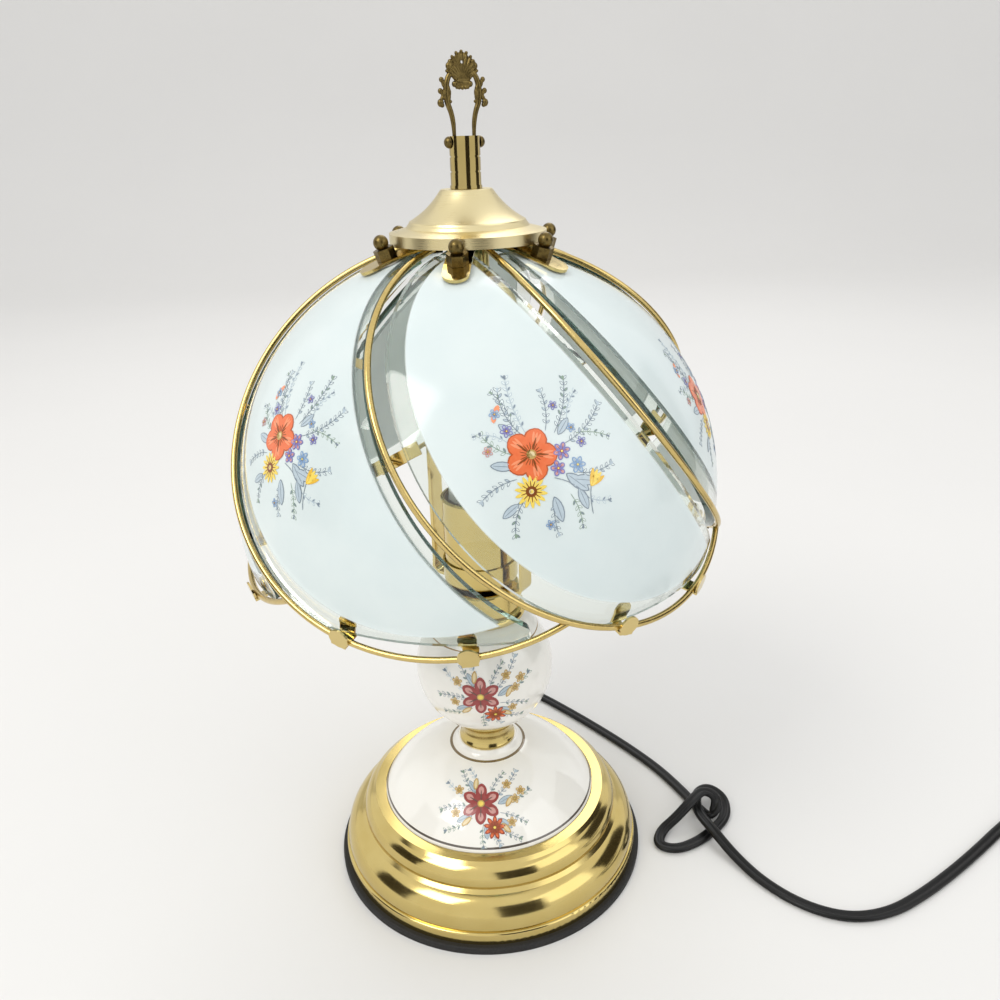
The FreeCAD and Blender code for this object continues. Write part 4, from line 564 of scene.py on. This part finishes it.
class Spray:
    """A painted bunch, drawn flat in millimetres out of brush marks and then laid on a curved piece."""

    def __init__(self, name, ground):
        self.name = name
        self.ground = ground
        self.marks = bmesh.new()

    def daub(self, u, v, length, width, turn, ink, layer=0, tip=0.0, point=1.0):
        """One brush mark turned by an angle in degrees: tip widens its far end, point sharpens both ends."""
        place = Matrix.Translation((u, v, layer * LAYER)) @ Matrix.Rotation(math.radians(turn), 4, "Z")
        rim = []
        for number in range(MARK_CORNERS):
            angle = math.radians(360 / MARK_CORNERS * number)
            x, y = math.cos(angle), math.sin(angle)
            y = math.copysign(abs(y) ** point, y) * (1 + tip * x)
            rim.append(self.marks.verts.new(place @ Vector((x * length / 2, y * width / 2, 0))))
        middle = self.marks.verts.new(place @ Vector((0, 0, 0)))
        for number in range(MARK_CORNERS):
            face = self.marks.faces.new((middle, rim[number], rim[(number + 1) % MARK_CORNERS]))
            face.material_index = list(INKS).index(ink)

    def stem(self, u, v, heading, reach, bend, ink, width=0.24, layer=0):
        """A thin curved line of short strokes; gives its points and headings."""
        spots, count = [(u, v, heading)], max(3, round(reach / 2.2))
        for number in range(count):
            p, q = along(u, v, heading, reach / count)
            self.daub((u + p) / 2, (v + q) / 2, reach / count * 1.3, width, heading, ink, layer)
            u, v, heading = p, q, heading + bend / count
            spots.append((u, v, heading))
        return spots

    def twig(self, u, v, heading, reach, bend, size, ink, second):
        """A curved stem with pointed leaves on both sides and a bud at its end."""
        spots = self.stem(u, v, heading, reach, bend, ink)
        for number, (p, q, way) in enumerate(spots[1:]):
            for side in (-42, 42):
                x, y = along(p, q, way + side, size * 0.55)
                filling = self.ground if (number + (side > 0)) % 3 else second
                self.daub(x, y, size, size * 0.46, way + side, ink, 0, 0.0, 1.4)
                self.daub(x, y, size * 0.74, size * 0.26, way + side, filling, 1, 0.0, 1.4)
        p, q, way = spots[-1]
        self.daub(*along(p, q, way, 0.6), size * 0.9, size * 0.5, way, second, 1)

    def leaf(self, u, v, heading, reach, ink, vein):
        """A broad pointed leaf with a dark rim and a vein."""
        p, q = along(u, v, heading, reach / 2)
        self.daub(p, q, reach, reach * 0.42, heading, vein, 1, 0.0, 1.5)
        self.daub(p, q, reach * 0.9, reach * 0.34, heading, ink, 2, 0.0, 1.5)
        self.daub(p, q, reach * 0.8, 0.2, heading, vein, 3)

    def bloom(self, u, v, size, count, plump, ink, shine, heart, start=90):
        """A flower seen from above: petals with a lighter middle and a vein, round a heart."""
        bright = ink == "flame"
        for number in range(count):
            way = start + 360 * number / count
            spot = along(u, v, way, size * 0.29)
            rim = "rust" if bright else ink
            self.daub(*spot, size * 0.48, size * plump, way, rim, 2 + number % 2, 0.1, 1.25)
            self.daub(*spot, size * 0.44, size * plump * 0.88, way, ink, 4, 0.1, 1.25)
            for lean in (-9, 0, 9) if bright else (0,):
                self.daub(*along(u, v, way + lean, size * 0.34), size * 0.22,
                          size * plump * (0.1 if bright else 0.5), way + lean, shine, 5, 0.1, 1.3)
            self.daub(*along(u, v, way, size * 0.22), size * 0.26, size * 0.03, way, heart, 6)
        self.daub(u, v, size * 0.2, size * 0.19, 0, heart, 7)
        self.daub(u, v, size * 0.13, size * 0.12, 0, "lemon", 8)

    def lay_on(self, node, centre, outward):
        """Projects the bunch onto a CAD node round a point, and gives it a skin's thickness."""
        shape = bpy.data.meshes.new(self.name)
        self.marks.to_mesh(shape)
        self.marks.free()
        piece = bpy.data.objects.new(self.name, shape)
        bpy.context.scene.collection.objects.link(piece)
        for ink in INKS:
            shape.materials.append(FIRED[ink])
        right = Vector((0, 0, 1)).cross(outward).normalized()
        up = outward.cross(right)
        for vertex in shape.vertices:
            u, v, layer = vertex.co * MM
            start = centre + right * u + up * v + outward * START * MM
            hit, where = NODES[node].ray_cast(start, -outward)[:2]
            if not hit:
                raise RuntimeError(f"{self.name} runs off {node}")
            vertex.co = where + outward * (LIFT * MM + layer)
        bpy.ops.object.select_all(action="DESELECT")
        piece.select_set(True)
        bpy.context.view_layer.objects.active = piece
        skin = piece.modifiers.new("skin", "SOLIDIFY")
        skin.thickness = SKIN * MM
        skin.offset = -1
        bpy.ops.object.modifier_apply(modifier="skin")
        return piece


def shade_spray():
    """The bunch on each glass petal: an orange flower, two yellow ones and blue sprays."""
    s = Spray("petal_flowers_1", "print")
    for u, v, heading, reach, bend, size, ink, second in (
        (-5, 8, 132, 17, -50, 1.9, "slate", "mist"), (-4, 9, 112, 19, -26, 1.8, "mist", "slate"),
        (-8, 12, 96, 12, 40, 1.6, "slate", "leaf"), (3, 9, 74, 13, 30, 1.7, "slate", "mist"),
        (6, 8, 56, 19, 30, 1.9, "slate", "leaf"), (11, 12, 80, 10, -40, 1.6, "mist", "slate"),
        (9, 4, 22, 19, 40, 1.9, "slate", "mist"), (13, 7, 4, 12, -30, 1.6, "leaf", "slate"),
        (-9, 2, 158, 12, -40, 1.8, "leaf", "slate"), (-10, 6, 140, 11, 50, 1.5, "mist", "slate"),
        (12, -6, 350, 13, 40, 1.8, "slate", "mist"), (-6, -12, 226, 13, 50, 1.8, "slate", "leaf"),
        (3, -14, 262, 11, 26, 1.7, "slate", "mist"), (9, -13, 300, 11, -30, 1.8, "leaf", "slate"),
        (-9, -6, 190, 13, 36, 1.8, "slate", "mist"), (14, -14, 330, 9, 40, 1.6, "mist", "slate"),
    ):
        s.twig(u, v, heading, reach, bend, size, ink, second)
    for u, v, heading, reach in ((-9, -2, 170, 8), (8, -6, 320, 10), (10, -8, 350, 9), (3, -13, 285, 9),
                                 (-9, -14, 215, 7), (7, 7, 50, 7), (-7, 8, 140, 7), (12, -11, 290, 8)):
        s.leaf(u, v, heading, reach, "mist", "slate")
    for u, v, size, ink in (
        (-13, 16, 3.6, "blue"), (-17, 4, 3.4, "rose"), (15, 4, 3.6, "violet"), (12, 9, 3.2, "blue"),
        (1, -22, 3.2, "blue"), (7, 17, 3.2, "violet"), (-10, 10, 4.2, "violet"),
    ):
        s.bloom(u, v, size, 5, 0.34, ink, "mist", "heart", 40)
    s.daub(-12, 17.5, 3.2, 1.8, 60, "peach", 3, 0.0, 1.3)
    s.daub(-13.5, 14.5, 2.8, 1.6, 80, "peach", 3, 0.0, 1.3)
    s.bloom(7.5, 1.5, 6.0, 6, 0.3, "violet", "rose", "maroon", 10)
    s.bloom(5.5, -4, 5.2, 5, 0.36, "violet", "rose", "maroon", 30)
    s.bloom(12.5, -3.5, 5.6, 6, 0.3, "blue", "mist", "slate", 0)
    s.bloom(-4.5, -10.5, 10.5, 14, 0.13, "lemon", "lemon", "heart")
    s.daub(-4.5, -10.5, 3.8, 3.6, 0, "heart", 7)
    s.daub(-4.5, -10.5, 1.7, 1.6, 0, "cream", 8)
    s.stem(4, -7, 342, 14, -40, "slate", 0.3, 2)
    for heading in (28, 44, 60, 76):
        s.daub(*along(16.5, -11, heading, 3), 6.2, 1.6, heading, "gold" if heading in (28, 76) else "lemon",
               3, 0.0, 1.3)
    s.stem(16.5, -11, 262, 9, 20, "slate", 0.3, 2)
    s.bloom(-3, 1.5, 17, 5, 0.47, "flame", "peach", "heart", 66)
    for number in range(20):
        way = 18 * number
        s.daub(*along(-3, 1.5, way, 2.7), 2.7 if number % 2 else 1.8, 0.25, way, "heart", 6)
    s.daub(-3, 1.5, 3.4, 3.2, 0, "ochre", 7)
    s.daub(-3, 1.5, 2.2, 2.0, 0, "cream", 8)
    return s


def fix_to(piece, body):
    """A painted bunch moves with a body."""
    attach(piece, body)


petal_way = aim(13, 65)
first_spray = shade_spray().lay_on("petal_1", SHADE_CENTRE + petal_way * GLASS_REACH * MM, petal_way)
for number in range(PETALS):
    piece = first_spray
    if number:
        piece = first_spray.copy()
        piece.data = first_spray.data.copy()
        piece.name = f"petal_flowers_{number + 1}"
        piece.data.transform(Matrix.Rotation(math.radians(PETAL_STEP * number), 4, "Z"))
        bpy.context.scene.collection.objects.link(piece)
    fix_to(piece, "shade")


def china_spray(name, size):
    """The bunch on the porcelain: a maroon flower, a russet one, buds and grey leaves."""
    s = Spray(name, "china")
    for u, v, heading, reach, bend, leaf, ink, second in (
        (-2, 3, 134, 11, -30, 1.5, "slate", "leaf"), (-1, 4, 104, 10, 24, 1.4, "mist", "slate"),
        (2, 4, 70, 9, -24, 1.4, "slate", "leaf"), (4, 3, 44, 12, 24, 1.5, "slate", "mist"),
        (6, 1, 16, 11, 30, 1.5, "leaf", "slate"), (6, -2, 352, 9, -22, 1.4, "slate", "leaf"),
        (-5, 0, 170, 10, 30, 1.5, "slate", "leaf"), (-4, 2, 152, 11, -20, 1.4, "mist", "slate"),
        (-4, -4, 212, 10, -24, 1.4, "leaf", "slate"), (3, -5, 322, 11, 22, 1.5, "slate", "leaf"),
        (0, -6, 262, 7, 22, 1.4, "leaf", "slate"), (3, -7, 290, 6, 22, 1.4, "slate", "mist"),
    ):
        s.twig(u * size, v * size, heading, reach * size, bend, leaf * size, ink, second)
    for u, v, heading, reach in ((5, 1, 30, 6), (-4, -3, 200, 6), (5, -4, 330, 6), (-3, 5, 120, 5),
                                 (1, -6, 275, 5)):
        s.leaf(u * size, v * size, heading, reach * size, "mist", "slate")
    for u, v in ((-9, 6), (8, 8), (11, 3), (-10, -2), (10, -5), (13, 6)):
        s.bloom(u * size, v * size, 3.4 * size, 5, 0.34, "ochre", "cream", "line")
    for u, v, heading in ((-3, 8, 84), (9, 2, 62), (-6, -5, 220), (8, -7, 318)):
        s.daub(u * size, v * size, 4.4 * size, 1.9 * size, heading, "ochre", 3, 0.0, 1.3)
        s.daub(u * size, v * size, 3.4 * size, 1.1 * size, heading, "cream", 4, 0.0, 1.3)
    s.bloom(-1 * size, 1 * size, 13.5 * size, 6, 0.3, "maroon", "rose", "line")
    s.daub(-1 * size, 1 * size, 2.6 * size, 2.5 * size, 0, "ochre", 7)
    s.bloom(4 * size, -7 * size, 7.5 * size, 9, 0.2, "russet", "flame", "heart")
    return s


ball_way = aim(-2, 89)
ball_spot = BALL_CENTRE + ball_way * BALL_REACH * MM
fix_to(china_spray("ball_flowers", 1.28).lay_on("porcelain_ball", ball_spot, ball_way), "stand")
dome_way = aim(-4, 40)
dome_spot = Vector((-0.003, -0.0385, 0.0500))
fix_to(china_spray("dome_flowers", 1.3).lay_on("porcelain_dome", dome_spot, dome_way), "stand")

# ---------------------------------------------------------------- floor and light


# In metres: the floor's width, the backdrop's height, the radius between them, and the point on the
# lamp that the lights and cards face.
FLOOR_SIZE, BACKDROP_HEIGHT, SWEEP_RADIUS = 6, 3, 1.2
LIT_POINT = Vector((0, 0, 0.15))


def card(name, place, wide, high):
    """A dark card that only reflections see, so that the brass has something to mirror."""
    bpy.ops.mesh.primitive_plane_add(size=1, location=place)
    piece = bpy.context.object
    piece.name = name
    piece.scale = (wide, high, 1)
    piece.rotation_euler = (LIT_POINT - Vector(place)).to_track_quat("Z", "Y").to_euler()
    piece.data.materials.append(mottled(name, "2E2A24", "3A352E", 300, 0.8, 0.9, 0.0))
    piece.visible_camera = piece.visible_diffuse = piece.visible_shadow = piece.visible_transmission = False


def studio():
    """A pale floor swept up into a backdrop, dark cards, three soft lights and a white surround."""
    bpy.ops.mesh.primitive_plane_add(size=FLOOR_SIZE, location=(0, 0, 0))
    floor = bpy.context.object
    floor.name = "floor"
    bpy.ops.object.mode_set(mode="EDIT")
    bpy.ops.mesh.select_all(action="DESELECT")
    bpy.ops.object.mode_set(mode="OBJECT")
    for edge in floor.data.edges:
        edge.select = all(floor.data.vertices[n].co.y > FLOOR_SIZE / 2 - 0.1 for n in edge.vertices)
    bpy.ops.object.mode_set(mode="EDIT")
    bpy.ops.mesh.select_mode(type="EDGE")
    bpy.ops.mesh.extrude_region_move(TRANSFORM_OT_translate={"value": (0, 0, BACKDROP_HEIGHT)})
    bpy.ops.object.mode_set(mode="OBJECT")
    sweep = floor.modifiers.new("sweep", "BEVEL")
    sweep.width = SWEEP_RADIUS
    sweep.segments = 16
    bpy.ops.object.modifier_apply(modifier="sweep")
    bpy.ops.object.shade_smooth()
    floor.data.materials.append(mottled("paper_floor", "E2E1DF", "E6E5E3", 400, 0.8, 0.9, 0.0))
    card("dark_card_front", (0.45, -1.3, 0.55), 0.8, 1.1)
    card("dark_card_left", (-1.35, -0.4, 0.45), 0.7, 1.0)
    card("dark_card_right", (1.3, 0.2, 0.4), 0.8, 0.9)
    for name, place, size, power, tint in (
        ("key_light", (-0.9, -0.8, 1.5), 0.8, 11, "FFFDF8"),
        ("fill_light", (1.3, -0.9, 1.0), 1.2, 4, "F8FBFF"),
        ("back_light", (0.2, 1.3, 1.6), 1.0, 7, "FFFFFF"),
    ):
        light = bpy.data.lights.new(name, "AREA")
        light.size = size
        light.energy = power
        light.color = colour(tint)[:3]
        lamp = bpy.data.objects.new(name, light)
        lamp.location = place
        lamp.rotation_euler = (LIT_POINT - Vector(place)).to_track_quat("-Z", "Y").to_euler()
        bpy.context.scene.collection.objects.link(lamp)
    world = bpy.data.worlds.new("studio")
    bpy.context.scene.world = world
    world.use_nodes = True
    tree = world.node_tree
    sky = tree.nodes["Background"]
    path = add(tree, "LightPath").outputs
    seen = combine(tree, combine(tree, path["Is Camera Ray"], path["Is Transmission Ray"], "MAXIMUM"),
                 path["Is Glossy Ray"], "MAXIMUM")
    strength = add(tree, "MapRange", None, Value=seen, To_Min=0.85, To_Max=1.0).outputs["Result"]
    sky.inputs["Color"].default_value = (1, 1, 1, 1)
    tree.links.new(strength, sky.inputs["Strength"])
    bpy.context.scene.view_settings.view_transform = "Standard"


studio()
